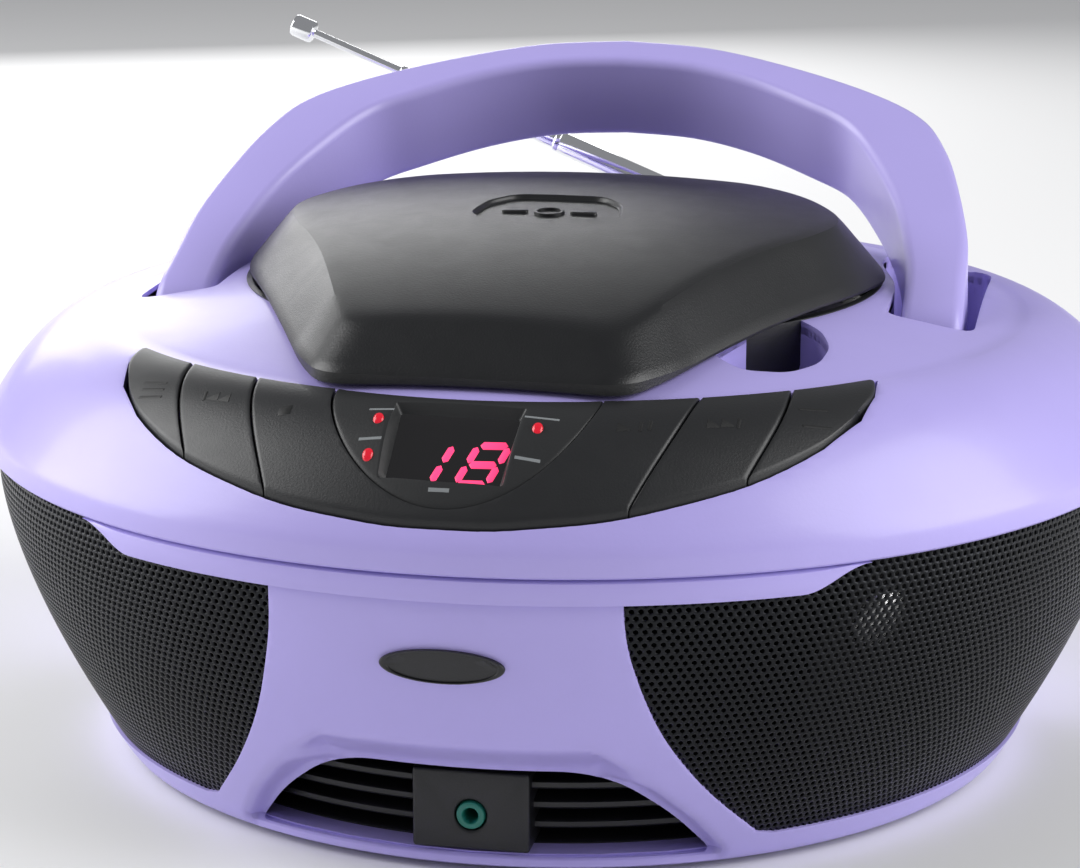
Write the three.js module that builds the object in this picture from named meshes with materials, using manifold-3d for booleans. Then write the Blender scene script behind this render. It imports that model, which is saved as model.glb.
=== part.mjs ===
// A portable CD player with a radio: a low round cabinet, a disc door on top, a carrying handle that
// folds back, a telescopic aerial, a row of keys round a display, and two speakers behind grilles.
// Millimetres, +Z up, the front faces -Y. The origin is on the floor under the cabinet's centre.
import * as THREE from "three";
import { mergeVertices } from "three/addons/utils/BufferGeometryUtils.js";
import Module from "manifold-3d";

const wasm = await Module();
wasm.setup();

// ---- Clearances ----
const GAP = 0.3; // between pieces that touch
const RUN = 0.12; // between tubes that slide in each other
const PLAY = 0.25; // round a pin or a shaft in its hole

// ---- Cabinet ----
const WIDTH = 232;
const DEPTH = 228;
const WALL = 2.4;
const BASE_WIDTH = 180; // across the foot of the bowl
const FOOT_LIFT = 1.5; // the feet hold the cabinet this far off the floor
const SEAM_Z = 63; // where the top housing meets the lower cabinet
const SKIRT_Z = SEAM_Z - 5; // lower edge of the skirt across the front
const RIM_Z = SEAM_Z + 4.7; // top of the upright rim
const BAND_RISE = 20; // from the rim to the soft crease
const CREASE_IN = 25; // from the rim in to the crease
const CROWN_RISE = 18.2; // from the crease to the middle
const BOWL_LIP = 1.6; // the bowl stands in from the rim by this much
const SPLIT_Y = 18; // front and rear cabinets meet here
const SEGMENTS = 48;

const R = WIDTH / 2;
const ASPECT = DEPTH / WIDTH;
const CREASE_R = R - CREASE_IN;
const BOWL_R = R - BOWL_LIP;

// ---- Disc well, door and drive ----
const DISC_R = 60;
const WELL_R = DISC_R + 2;
const WELL_FLOOR_Z = SEAM_Z + 18;
const DOOR_BACK_Y = 62;
const DOOR_FRONT_Y = 2.4 - CREASE_R * ASPECT; // just behind the crease
const DOOR_HALF = 65.5; // half the door's width, at its widest
const DOOR_WALL = 2.2;
const DOOR_CROWN_Z = SEAM_Z + 47;
const HINGE_Y = 66;
const HINGE_Z = SEAM_Z + 29.6;
const HINGE_PIN_R = 1.1;
const HINGE_EARS = [-20, 20];
const SPINDLE_R = 7.3;
const TURNTABLE_R = 14.5;
const DECK_Z = WELL_FLOOR_Z - 19;

// ---- Handle ----
const PIVOT_Y = -10.5;
const PIVOT_Z = SEAM_Z + 20.4;
const HANDLE_TILT = THREE.MathUtils.degToRad(65.3); // back from upright
const HANDLE_HALF = 80.5;
const HANDLE_REACH = 95.5; // pivot to the top of the arch
const HANDLE_BAND = 20;
const LEG = 11.8;
const GRIP_THICK = 9.2;
const PIVOT_PIN_R = 2.4;

// ---- Front ----
const KEY_PROUD = 0.7;
const KEY_THICK = 3;
const GRILLE_THICK = 1.1;
const GRILLE_LOW_Z = 7;
const VENT_LOW_Z = 3.4;
const VENT_TOP_Z = 21.5;
const VENT_LOW_HALF = 42;
const VENT_TOP_HALF = 24;
const JACK_Z = 10.5;

// ---- Aerial ----
const AERIAL_X = 43;
const AERIAL_Y = DEPTH / 2 - 16;
const AERIAL_Z = SEAM_Z + 16;
const AERIAL_RISE = THREE.MathUtils.degToRad(22.2);
const AERIAL_R = 2.6;
const TUBE_WALL = 0.38;
const TUBE_LENGTH = 66;
const AERIAL_OUT = [20, 21, 23]; // how far each inner section stands out as drawn

// ---- Speakers ----
const SPEAKER_R = 33;
const SPEAKER_TURN = THREE.MathUtils.degToRad(50);
const SPEAKER_DIP = THREE.MathUtils.degToRad(14);
const SPEAKER_OUT = 99;
const SPEAKER_Z = SEAM_Z - 22;

// ---- Battery bay, six C cells in three rows of two ----
const CELL_LENGTH = 50;
const CELL_DIAMETER = 26.2;
const BAY_HALF = CELL_LENGTH + 3;
const BAY_FRONT_Y = -20;
const BAY_BACK_Y = BAY_FRONT_Y + 3 * CELL_DIAMETER + 1.4;
const BAY_TOP_Z = 31;

// ---- Solids: three.js shapes, joined and cut ----
function solid(geometry) {
  const bare = geometry.clone();
  bare.deleteAttribute("normal");
  bare.deleteAttribute("uv");
  const merged = mergeVertices(bare, 1e-4);
  const triVerts = [];
  for (let i = 0; i < merged.index.count; i += 3) {
    const [a, b, c] = [0, 1, 2].map((k) => merged.index.getX(i + k));
    if (a !== b && b !== c && c !== a) triVerts.push(a, b, c);
  }
  const make = () =>
    new wasm.Manifold(
      new wasm.Mesh({
        numProp: 3,
        vertProperties: new Float32Array(merged.attributes.position.array),
        triVerts: new Uint32Array(triVerts),
      }),
    );
  const made = make();
  if (made.volume() > 0) return made;
  triVerts.reverse();
  return make();
}

const join = (...solids) => solids.reduce((a, b) => a.add(b));
const cut = (body, ...tools) => tools.reduce((a, b) => a.subtract(b), body);

function block(x0, x1, y0, y1, z0, z1) {
  const g = new THREE.BoxGeometry(x1 - x0, y1 - y0, z1 - z0);
  return solid(g.translate((x0 + x1) / 2, (y0 + y1) / 2, (z0 + z1) / 2));
}

// A round bar from z0 to z1 round (x, y).
function roundZ(radius, z0, z1, x = 0, y = 0, sides = 14) {
  const g = new THREE.CylinderGeometry(radius, radius, z1 - z0, sides).rotateX(Math.PI / 2);
  return solid(g.translate(x, y, (z0 + z1) / 2));
}

// A round bar along X from x0 to x1 through (y, z).
function roundX(radius, x0, x1, y, z, sides = 12) {
  const g = new THREE.CylinderGeometry(radius, radius, x1 - x0, sides).rotateZ(Math.PI / 2);
  return solid(g.translate((x0 + x1) / 2, y, z));
}

// A round bar along Y from y0 to y1 through (x, z).
function roundY(radius, y0, y1, x, z, sides = 12) {
  const g = new THREE.CylinderGeometry(radius, radius, y1 - y0, sides);
  return solid(g.translate(x, (y0 + y1) / 2, z));
}

// A profile of [radius, height] points turned round +Z.
function turned(points, sides = 20) {
  const profile = points.map(([r, z]) => new THREE.Vector2(r, z));
  return new THREE.LatheGeometry(profile, sides).rotateX(Math.PI / 2);
}

// An outline in X and Y, raised from z0 to z1.
function prism(shape, z0, z1, curveSegments = 6) {
  const options = { depth: z1 - z0, bevelEnabled: false, curveSegments };
  return solid(new THREE.ExtrudeGeometry(shape, options).translate(0, 0, z0));
}

// An outline in X and Z, run from y0 back to y1.
function prismY(shape, y0, y1, curveSegments = 6) {
  const options = { depth: y1 - y0, bevelEnabled: false, curveSegments };
  const g = new THREE.ExtrudeGeometry(shape, options).rotateX(Math.PI / 2);
  return solid(g.translate(0, y1, 0));
}

function polygon(points) {
  return new THREE.Shape(points.map(([x, y]) => new THREE.Vector2(x, y)));
}

// A soft curve through the points, as a list of [x, y].
function smooth(points, divisions = 24) {
  const curve = new THREE.CatmullRomCurve3(
    points.map(([x, y]) => new THREE.Vector3(x, y, 0)),
    false,
    "centripetal",
  );
  return curve.getPoints(divisions).map((p) => [p.x, p.y]);
}

// ---- The cabinet's own surfaces ----
function domeHeight(r) {
  if (r <= CREASE_R) return RIM_Z + BAND_RISE + CROWN_RISE * (1 - r / CREASE_R);
  const t = (r - CREASE_R) / (R - CREASE_R);
  return RIM_Z + BAND_RISE * (1 - t ** 2.2);
}

// Everything under the dome, moved out by offset, down to the height low.
function underDome(offset, low) {
  const outer = R + offset;
  const steps = 5;
  const points = [[0, low], [outer, low], [outer, RIM_Z + offset]];
  for (let i = steps - 1; i >= 0; i--) {
    const r = CREASE_R + ((R - CREASE_R) * i) / steps;
    points.push([r + (offset * i) / steps, domeHeight(r) + offset]);
  }
  points.push([0, domeHeight(0) + offset]);
  return solid(turned(points, SEGMENTS).scale(1, ASPECT, 1));
}

function bowlRadius(z) {
  const foot = BASE_WIDTH / 2;
  const t = Math.min(1, z / SKIRT_Z);
  return foot + (BOWL_R - foot) * (1 - (1 - t) ** 1.5);
}

// The bowl's wall runs straight between rings at fixed heights, so that skins on it stay parallel.
const RINGS = [0, 8, 18, 32, SEAM_Z - 17, SKIRT_Z, SEAM_Z + 8];
function ringRadius(z) {
  const i = Math.min(RINGS.length - 1, Math.max(1, RINGS.findIndex((ring) => ring >= z)));
  const t = (z - RINGS[i - 1]) / (RINGS[i] - RINGS[i - 1]);
  return bowlRadius(RINGS[i - 1]) * (1 - t) + bowlRadius(RINGS[i]) * t;
}

// Everything inside the bowl, moved out by offset, between two heights.
function insideBowl(offset, low, high) {
  const heights = [low, ...RINGS.filter((z) => z > low && z < high), high];
  const wall = heights.map((z) => [ringRadius(z) + offset, z]);
  return solid(turned([[0, low], ...wall, [0, high]], SEGMENTS).scale(1, ASPECT, 1));
}

// ---- Materials ----
const material = (color, roughness, metalness = 0) =>
  new THREE.MeshStandardMaterial({ color, roughness, metalness });
const LAVENDER = material(0xbab2ea, 0.42);
const BLACK = material(0x2a2d2f, 0.5);
const KEY_GREY = material(0x3a3d3f, 0.55);
const MESH_BLACK = material(0x101114, 0.35, 0.8);
const CHROME = material(0xd8dade, 0.15, 1);
const STEEL = material(0x9a9da3, 0.35, 1);
const RED = material(0xd81f35, 0.3);
const SMOKE = material(0x2a0a12, 0.1);
const TEAL = material(0x23786a, 0.4);
const RUBBER = material(0x1b1b1c, 0.9);
const BOARD = material(0x2e6a3c, 0.6);
const COPPER = material(0xb3702e, 0.4, 0.9);
const PAPER = material(0x1c1c1e, 0.85);
const WHITE = material(0xe8e6df, 0.6);

const player = new THREE.Group();

function place(name, shape, look) {
  const mesh = shape.getMesh();
  const g = new THREE.BufferGeometry();
  g.setAttribute("position", new THREE.BufferAttribute(mesh.vertProperties, 3));
  g.setIndex(new THREE.BufferAttribute(mesh.triVerts, 1));
  g.computeVertexNormals();
  const made = new THREE.Mesh(g, look);
  made.name = name;
  player.add(made);
}

// ---- Outlines ----
// The front key panel: its top edge lies along the crease, its foot bows forward. Each point of the
// foot is [share of the cabinet's half width, distance in from the rim].
const PANEL_TOP_R = CREASE_R + 1;
const PANEL_FOOT = [[0, 2], [0.1207, 2.26], [0.2672, 3.46], [0.4172, 6.11], [0.5207, 11.13], [0.5741, 17.33]]
  .map(([share, inset]) => [share * R, inset - ASPECT * Math.sqrt(R ** 2 - (share * R) ** 2)]);
const PANEL_TIP = 0.5836 * R;
const PANEL_MIDDLE_Y = 14 - DEPTH / 2;

function panelTop(x) {
  return -ASPECT * Math.sqrt(PANEL_TOP_R ** 2 - x * x);
}

function panelFoot(x) {
  const line = [...PANEL_FOOT];
  const i = Math.max(1, line.findIndex(([px]) => px >= x));
  const [[x0, y0], [x1, y1]] = [line[i - 1], line[i]];
  return y0 + ((y1 - y0) * (x - x0)) / (x1 - x0);
}

// The panel's outline between two dividing lines; each line is [x at the top, x at the foot].
function panelPart(left, right, steps = 6) {
  const top = [];
  const foot = [];
  for (let i = 0; i <= steps; i++) {
    const xt = left[0] + ((right[0] - left[0]) * i) / steps;
    const xf = left[1] + ((right[1] - left[1]) * i) / steps;
    top.push([xt, panelTop(xt)]);
    foot.push([xf, panelFoot(Math.abs(xf))]);
  }
  return polygon([...foot, ...top.reverse()]);
}

const PANEL_END = [PANEL_TIP, PANEL_FOOT[5][0]];
const KEY_LINE_OUTER = [0.4664 * R, 0.4293 * R];
const KEY_LINE_INNER = [0.3388 * R, 0.2716 * R];
const BEZEL_HALF = 23.6;
const BEZEL_FOOT_Y = 5.4 - DEPTH / 2;

function shifted([top, foot], by) {
  return [top + by, foot + by];
}
const mirrored = ([top, foot]) => [-top, -foot];

// The display bezel: a half moon hanging from the panel's top edge.
function bezelOutline(grow) {
  const half = BEZEL_HALF + grow;
  const top = panelTop(half) - 0.2 + grow;
  const middle = panelTop(0) - 0.2 + grow;
  const drop = top - (BEZEL_FOOT_Y - grow);
  const arc = [];
  for (let i = 0; i <= 12; i++) {
    const a = (Math.PI * i) / 12;
    arc.push([-half * Math.cos(a), top - drop * Math.sin(a) ** 0.8]);
  }
  return polygon([...arc, [half * 0.5, panelTop(half * 0.5) - 0.2 + grow], [0, middle],
    [-half * 0.5, panelTop(half * 0.5) - 0.2 + grow]]);
}

// The disc door, seen from above: six sides with rounded corners.
function doorOutline(inset) {
  const half = [
    [0, DOOR_FRONT_Y + inset],
    [26 - inset * 0.5, DOOR_FRONT_Y + 0.6 + inset],
    [32.6 - inset, DOOR_FRONT_Y + 10],
    [DOOR_HALF - 6 - inset, -18],
    [DOOR_HALF - inset, 2],
    [DOOR_HALF - 8 - inset, 20],
    [40 - inset, 42 - inset * 0.5],
    [24 - inset * 0.5, DOOR_BACK_Y - inset],
    [0, DOOR_BACK_Y - inset],
  ];
  const left = half.slice(1, -1).reverse().map(([x, y]) => [-x, y]);
  return polygon([...half, ...left]);
}

// The front grille, seen from the front: its inner edge leans outwards as it goes down.
function grilleOutline(side, inset) {
  const edge = [[31, SEAM_Z + 4], [31, SEAM_Z - 9], [32.6, SEAM_Z - 19], [36.3, 31.8], [42.5, 19.5],
    [51, GRILLE_LOW_Z]];
  const inner = edge.map(([x, z]) => [x + inset, z]);
  inner[inner.length - 1][1] += inset;
  inner[0][1] = SEAM_Z - GAP - inset;
  const far = R + 10;
  return polygon([...inner, [far, GRILLE_LOW_Z + inset], [far, SEAM_Z - GAP - inset]]
    .map(([x, z]) => [side * x, z]));
}

// The vent in the foot of the front, seen from the front.
function ventOutline(inset) {
  const low = VENT_LOW_HALF - inset;
  const high = VENT_TOP_HALF - inset;
  return polygon([
    [-low, VENT_LOW_Z + inset],
    [low, VENT_LOW_Z + inset],
    [low - 5, VENT_LOW_Z + 8],
    [high + 3, VENT_TOP_Z - 3 - inset],
    [high - 4, VENT_TOP_Z - inset],
    [4 - high, VENT_TOP_Z - inset],
    [-high - 3, VENT_TOP_Z - 3 - inset],
    [5 - low, VENT_LOW_Z + 8],
  ]);
}

// ---- Top housing ----
const SLOT = [66.2, 82.6]; // the handle's slots, in X
const SLOT_FRONT_Y = -21.5;
const SLOT_BACK_Y = 46;
const SLOT_FLOOR_Z = SEAM_Z + 8.5;
const SLOT_FLARE = 5.4; // the slot widens inwards towards the back, as the arch does
const GROOVE_HALF = 4.6; // half the width of the groove that the lowered aerial lies in
const GROOVE_FLOOR_Z = SEAM_Z + 9.6;
const SCOOP = [[36, -66], [44, -68.5], [52, -64.5], [57.5, -55], [58.2, -46], [55, -38], [46, -42]];
const SCOOP_FLOOR_Z = SEAM_Z + 21;

// One slot's outline, moved out all round by grow.
function slotOutline(side, grow) {
  const [x0, x1] = SLOT;
  return polygon([
    [x0 - grow, SLOT_FRONT_Y - grow],
    [x1 + grow, SLOT_FRONT_Y - grow],
    [x1 + grow, SLOT_BACK_Y + grow],
    [x0 - SLOT_FLARE - grow, SLOT_BACK_Y + grow],
    [x0 - SLOT_FLARE - grow, 26],
    [x0 - grow, 2],
  ].map(([x, y]) => [side * x, y]));
}

function topHousing() {
  const dome = underDome(0, SEAM_Z);
  const skirtFront = block(-0.595 * R, 0.595 * R, -R - 5, -60, SKIRT_Z, SEAM_Z + 1);
  const skirt = insideBowl(BOWL_LIP, SKIRT_Z, SEAM_Z + 0.5)
    .subtract(insideBowl(GAP, SKIRT_Z - 1, SEAM_Z + 1))
    .intersect(skirtFront);
  const shell = join(dome.subtract(underDome(-WALL, SEAM_Z - 2)), skirt);
  const boxes = [
    roundZ(WELL_R + 1.8, WELL_FLOOR_Z - 2, 100, 0, 0, 40),
    ...[-1, 1].map((s) => prism(slotOutline(s, 1.8), SLOT_FLOOR_Z - 1.8, 100)),
    block(-58, 52, AERIAL_Y - GROOVE_HALF - 1.6, AERIAL_Y + GROOVE_HALF + 1.6,
      GROOVE_FLOOR_Z - 1.6, 100),
    prism(polygon(SCOOP.map(([x, y]) => [x * 1.03, y * 1.03])), SCOOP_FLOOR_Z - 1.8, 100),
  ].map((b) => b.intersect(dome));
  const bosses = HINGE_EARS.flatMap((x) => [
    roundX(3, x - 8.4, x - 4.2, HINGE_Y, HINGE_Z),
    roundX(3, x + 4.2, x + 8.4, HINGE_Y, HINGE_Z),
  ]);
  const cuts = [
    roundZ(WELL_R, WELL_FLOOR_Z, 120, 0, 0, 40),
    roundZ(TURNTABLE_R + 1.5, WELL_FLOOR_Z - 4, 120, 0, 0, 24),
    block(-8.5, 8.5, -50, 0, WELL_FLOOR_Z - 4, 120),
    ...[-1, 1].map((s) => prism(slotOutline(s, 0), SLOT_FLOOR_Z, 120)),
    block(-56, 50, AERIAL_Y - GROOVE_HALF, AERIAL_Y + GROOVE_HALF, GROOVE_FLOOR_Z, 120),
    prism(polygon(SCOOP), SCOOP_FLOOR_Z, 120),
    prism(panelPart(mirrored(PANEL_END), PANEL_END, 28), SEAM_Z, 120),
    roundX(HINGE_PIN_R + PLAY, -45, 45, HINGE_Y, HINGE_Z, 12),
    ...HINGE_EARS.map((x) => block(x - 3.6, x + 3.6, HINGE_Y - 6, HINGE_Y + 3.4, HINGE_Z - 4, 120)),
    roundX(PIVOT_PIN_R + PLAY, SLOT[0] - 3, SLOT[1] + 3, PIVOT_Y, PIVOT_Z),
    roundX(PIVOT_PIN_R + PLAY, -SLOT[1] - 3, -SLOT[0] + 3, PIVOT_Y, PIVOT_Z),
  ];
  return cut(join(shell, ...boxes, ...bosses), ...cuts);
}
place("top_housing", topHousing(), LAVENDER);

// ---- Disc door ----
// The roof is an egg: long towards the front and the sides, short towards the hinge.
const ROOF = { wide: 158, front: 160, back: 92, high: 62, crownY: 12 };

// The door between its rim and the roof.
function doorBody(inset) {
  const roof = new THREE.SphereGeometry(1, 24, 14).rotateX(Math.PI / 2);
  const at = roof.attributes.position;
  for (let i = 0; i < at.count; i++) {
    const reach = at.getY(i) > 0 ? ROOF.back : ROOF.front;
    at.setY(i, at.getY(i) * (reach - inset));
  }
  roof.scale(ROOF.wide - inset, 1, ROOF.high - inset).translate(0, ROOF.crownY, DOOR_CROWN_Z - ROOF.high);
  return prism(doorOutline(inset), WELL_FLOOR_Z - 1, DOOR_CROWN_Z + 5).intersect(solid(roof));
}

function discDoor() {
  const shell = doorBody(0).subtract(doorBody(DOOR_WALL));
  const clear = underDome(0.6, 70);
  const ears = HINGE_EARS.map((x) =>
    join(roundX(2.3, x - 2.8, x + 2.8, HINGE_Y, HINGE_Z),
      block(x - 2.8, x + 2.8, DOOR_BACK_Y - 1.5, HINGE_Y, HINGE_Z + 0.4, HINGE_Z + 2.2)));
  const bore = roundX(HINGE_PIN_R + PLAY, -45, 45, HINGE_Y, HINGE_Z, 12);
  return cut(join(shell.subtract(clear), ...ears), bore);
}
place("disc_door", discDoor(), BLACK);
place("door_hinge_pin", roundX(HINGE_PIN_R, -36, 36, HINGE_Y, HINGE_Z, 12), STEEL);

// ---- Handle ----
// The arch lies in its own plane, X across and Y from the pivots to the top.
function handleOutline() {
  const k = HANDLE_REACH;
  const under = k - GRIP_THICK;
  const outer = smooth([
    [HANDLE_HALF, 4], [HANDLE_HALF - 1, 0.26 * k], [HANDLE_HALF - 4.4, 0.45 * k],
    [HANDLE_HALF - 7.6, 0.58 * k], [HANDLE_HALF - 14.5, 0.72 * k], [54, 0.81 * k], [36, 0.9 * k],
    [18, 0.975 * k], [0, k],
  ], 14);
  const inner = smooth([
    [HANDLE_HALF - LEG, 4], [HANDLE_HALF - LEG - 1.2, 0.18 * k], [HANDLE_HALF - 16.2, 0.36 * k],
    [HANDLE_HALF - 22, 0.52 * k], [51, 0.66 * k], [38, 0.8 * under + 6], [19, 0.96 * under], [0, under],
  ], 12);
  const right = [...outer.reverse(), [HANDLE_HALF, 0], [HANDLE_HALF - LEG, 0], ...inner];
  const left = right.slice(1, -1).reverse().map(([x, y]) => [-x, y]);
  return polygon([...right, ...left]);
}

function handle() {
  const depth = HANDLE_BAND;
  const arch = prism(handleOutline(), -depth / 2, depth / 2, 1);
  const ends = [-1, 1].map((s) =>
    roundX(depth / 2, Math.min(s * HANDLE_HALF, s * (HANDLE_HALF - LEG)),
      Math.max(s * HANDLE_HALF, s * (HANDLE_HALF - LEG)), 0, 0, 24));
  const bore = roundX(PIVOT_PIN_R + PLAY, -100, 100, 0, 0);
  const tilt = 90 - THREE.MathUtils.radToDeg(HANDLE_TILT);
  return cut(join(arch, ...ends), bore).rotate([tilt, 0, 0]).translate([0, PIVOT_Y, PIVOT_Z]);
}
place("handle", handle(), LAVENDER);
place("handle_pin_right",
  roundX(PIVOT_PIN_R, SLOT[0] - 1.4, SLOT[1] + 1.4, PIVOT_Y, PIVOT_Z, 12), STEEL);
place("handle_pin_left",
  roundX(PIVOT_PIN_R, -SLOT[1] - 1.4, -SLOT[0] + 1.4, PIVOT_Y, PIVOT_Z, 12), STEEL);

// ---- Keys and display ----
// A slice of the dome between two depths below its surface.
function domeSlice(proud, thick) {
  return underDome(proud, RIM_Z - 0.8).subtract(underDome(proud - thick, RIM_Z - 8));
}
const keySlice = domeSlice(KEY_PROUD, KEY_THICK);
const panelInset = prism(
  polygon([...panelPart(mirrored(PANEL_END), PANEL_END, 28).getPoints(1)]
    .map((p) => [p.x * 0.989, PANEL_MIDDLE_Y + (p.y - PANEL_MIDDLE_Y) * 0.972])),
  RIM_Z - 8, 110);
const bezelHole = prism(bezelOutline(GAP), RIM_Z - 8, 120);

function key(left, right) {
  const outline = prism(panelPart(left, right), RIM_Z - 8, 110);
  return keySlice.intersect(outline).intersect(panelInset).subtract(bezelHole);
}
const HALF_GAP = GAP / 2;
const panelLeft = mirrored(PANEL_END);
const lines = [mirrored(KEY_LINE_OUTER), mirrored(KEY_LINE_INNER), KEY_LINE_INNER, KEY_LINE_OUTER];
place("key_prog", key(panelLeft, shifted(lines[0], -HALF_GAP)), KEY_GREY);
place("key_previous", key(shifted(lines[0], HALF_GAP), shifted(lines[1], -HALF_GAP)), KEY_GREY);
place("key_stop_play", key(shifted(lines[1], HALF_GAP), shifted(lines[2], -HALF_GAP)), KEY_GREY);
place("key_next", key(shifted(lines[2], HALF_GAP), shifted(lines[3], -HALF_GAP)), KEY_GREY);
place("key_repeat", key(shifted(lines[3], HALF_GAP), PANEL_END), KEY_GREY);

// The display leans with the dome; its window sits in the bezel's sunk middle.
const DISPLAY = { half: 10.2, front: BEZEL_FOOT_Y + 3.4, back: BEZEL_FOOT_Y + 14.4 };
const LED_R = 1.1;
const LEDS = {
  led_power: [-15.2, BEZEL_FOOT_Y + 13],
  led_radio: [-15.6, BEZEL_FOOT_Y + 6.2],
  led_play: [15.2, BEZEL_FOOT_Y + 13],
};

function displayBezel() {
  const plate = domeSlice(KEY_PROUD - 0.4, 5).intersect(prism(bezelOutline(0), RIM_Z - 8, 120));
  const window = block(-DISPLAY.half - GAP, DISPLAY.half + GAP, DISPLAY.front - GAP,
    DISPLAY.back + GAP, 60, 120);
  const holes = Object.values(LEDS).map(([x, y]) => roundZ(LED_R + PLAY, 60, 120, x, y, 12));
  return cut(plate, window, ...holes);
}
place("display_bezel", displayBezel(), BLACK);
place("display_window", domeSlice(-0.9, 1.2).intersect(
  block(-DISPLAY.half, DISPLAY.half, DISPLAY.front, DISPLAY.back, 60, 120)), SMOKE);
place("display_module", domeSlice(-2.4, 4).intersect(
  block(-DISPLAY.half, DISPLAY.half, DISPLAY.front, DISPLAY.back, 60, 120)), WHITE);
for (const [name, [x, y]] of Object.entries(LEDS)) {
  place(name, domeSlice(KEY_PROUD - 0.1, 4.6).intersect(roundZ(LED_R, 60, 120, x, y, 12)), RED);
}

// ---- Lower cabinet ----
const CABINET_TOP_Z = SEAM_Z - GAP;
const BASE_THICK = 2.4;
const BASE_TOP_Z = FOOT_LIFT + BASE_THICK;

function cabinetShell() {
  const outer = insideBowl(0, FOOT_LIFT, CABINET_TOP_Z);
  return outer.subtract(insideBowl(-WALL, FOOT_LIFT - 1, CABINET_TOP_Z + 1));
}
const shell = cabinetShell();
const SPEAKER_SIDES = { left: -1, right: 1 };

// Moves a solid made round +Z to a speaker's place, facing out and a little down.
function toSpeaker(shape, side) {
  const facing = 90 + THREE.MathUtils.radToDeg(SPEAKER_DIP);
  const turn = side * THREE.MathUtils.radToDeg(SPEAKER_TURN);
  const x = side * SPEAKER_OUT * Math.sin(SPEAKER_TURN);
  const y = -SPEAKER_OUT * Math.cos(SPEAKER_TURN);
  return shape.rotate([facing, 0, 0]).rotate([0, 0, turn]).translate([x, y, SPEAKER_Z]);
}

function frontCabinet() {
  const front = shell.intersect(block(-R - 5, R + 5, -R - 5, SPLIT_Y, 0, 90));
  const sunk = insideBowl(1, 0, 70).subtract(insideBowl(-GRILLE_THICK - GAP, -1, 71));
  const tools = [-1, 1].flatMap((side) => [
    sunk.intersect(prismY(grilleOutline(side, 0), -R - 5, SPLIT_Y - 4)),
    toSpeaker(roundZ(SPEAKER_R - 5, -4, 40, 0, 0, 24), side),
  ]);
  const vent = prismY(ventOutline(0), -R - 5, -60);
  return cut(front, ...tools, vent);
}
place("front_cabinet", frontCabinet(), LAVENDER);

function grille(side) {
  const skin = insideBowl(0, 1, 66).subtract(insideBowl(-GRILLE_THICK, 0, 67));
  return skin.intersect(prismY(grilleOutline(side, GAP), -R - 5, SPLIT_Y - 4 - GAP));
}
place("grille_left", grille(-1), MESH_BLACK);
place("grille_right", grille(1), MESH_BLACK);

// ---- Rear cabinet, with its controls ----
const KNOB_R = 11;
const KNOB_DEPTH = 7;
const KNOB_AZIMUTH = THREE.MathUtils.degToRad(128); // from the front, round each side
const KNOB_Z = SEAM_Z - 18;
const INLET = { x: -48, z: 16, width: 15, height: 8.4 };

// Moves a solid made round +Z to a place on the rear cabinet's wall, facing out.
function toWall(shape, side, azimuth, z, out = 0) {
  const turn = side * THREE.MathUtils.radToDeg(azimuth);
  const r = bowlRadius(z) * 0.985 + out;
  const x = side * r * Math.sin(azimuth);
  const y = -r * Math.cos(azimuth);
  return shape.rotate([90, 0, 0]).rotate([0, 0, turn]).translate([x, y, z]);
}
const SWITCH_AZIMUTH = THREE.MathUtils.degToRad(148);
const SWITCH_SLOT = 16;
const SHAFT_R = 3;

function rearCabinet() {
  const rear = shell.intersect(block(-R - 5, R + 5, SPLIT_Y + GAP, R + 5, 0, 90));
  const holes = [-1, 1].flatMap((side) => [
    toWall(roundZ(SHAFT_R + PLAY, -8, 8), side, KNOB_AZIMUTH, KNOB_Z),
    toWall(block(-SWITCH_SLOT / 2, SWITCH_SLOT / 2, -2.4, 2.4, -8, 8), side, SWITCH_AZIMUTH, KNOB_Z),
  ]);
  const w = INLET.width / 2 + GAP;
  const h = INLET.height / 2 + GAP;
  const inlet = block(INLET.x - w, INLET.x + w, 60, 120, INLET.z - h, INLET.z + h);
  return cut(rear, ...holes, inlet);
}
place("rear_cabinet", rearCabinet(), LAVENDER);

function knob(side) {
  const top = KNOB_DEPTH + 1;
  const cap = solid(turned([[0, 2], [KNOB_R, 2], [KNOB_R - 0.8, top], [0, top]], 24));
  return toWall(join(cap, roundZ(SHAFT_R, -6, 3, 0, 0, 16)), side, KNOB_AZIMUTH, KNOB_Z, 1.2);
}
place("volume_knob", knob(-1), BLACK);
place("tuning_knob", knob(1), BLACK);

function controlBody(side) {
  const body = join(block(-9, 9, -9, 9, -18, -9), roundZ(4.4, -10, -7.4));
  const socket = roundZ(SHAFT_R + PLAY, -10, 0, 0, 0, 16);
  return toWall(body.subtract(socket), side, KNOB_AZIMUTH, KNOB_Z, 1.2);
}
place("volume_control", controlBody(-1), STEEL);
place("tuning_capacitor", controlBody(1), WHITE);

function slider(side) {
  const cap = block(-3, 3, -2, 2, -5, 3.6);
  return toWall(join(cap, block(-4.4, 4.4, -3.6, 3.6, -6, -4)), side, SWITCH_AZIMUTH, KNOB_Z);
}
place("function_switch", slider(-1), BLACK);
place("band_switch", slider(1), BLACK);

function inletSocket() {
  const { x, z, width, height } = INLET;
  const outer = Math.sqrt(bowlRadius(z) ** 2 - x * x) * ASPECT;
  const body = block(x - width / 2, x + width / 2, outer - 20, outer - 0.8, z - height / 2, z + height / 2);
  const well = block(x - width / 2 + 1.5, x + width / 2 - 1.5, outer - 14, outer + 5,
    z - height / 2 + 1.4, z + height / 2 - 1.4);
  const pins = [-3.4, 3.4].map((dx) => roundY(1.1, outer - 15, outer - 6, x + dx, z, 10));
  return join(body.subtract(well), ...pins);
}
place("power_inlet", inletSocket(), BLACK);

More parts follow.
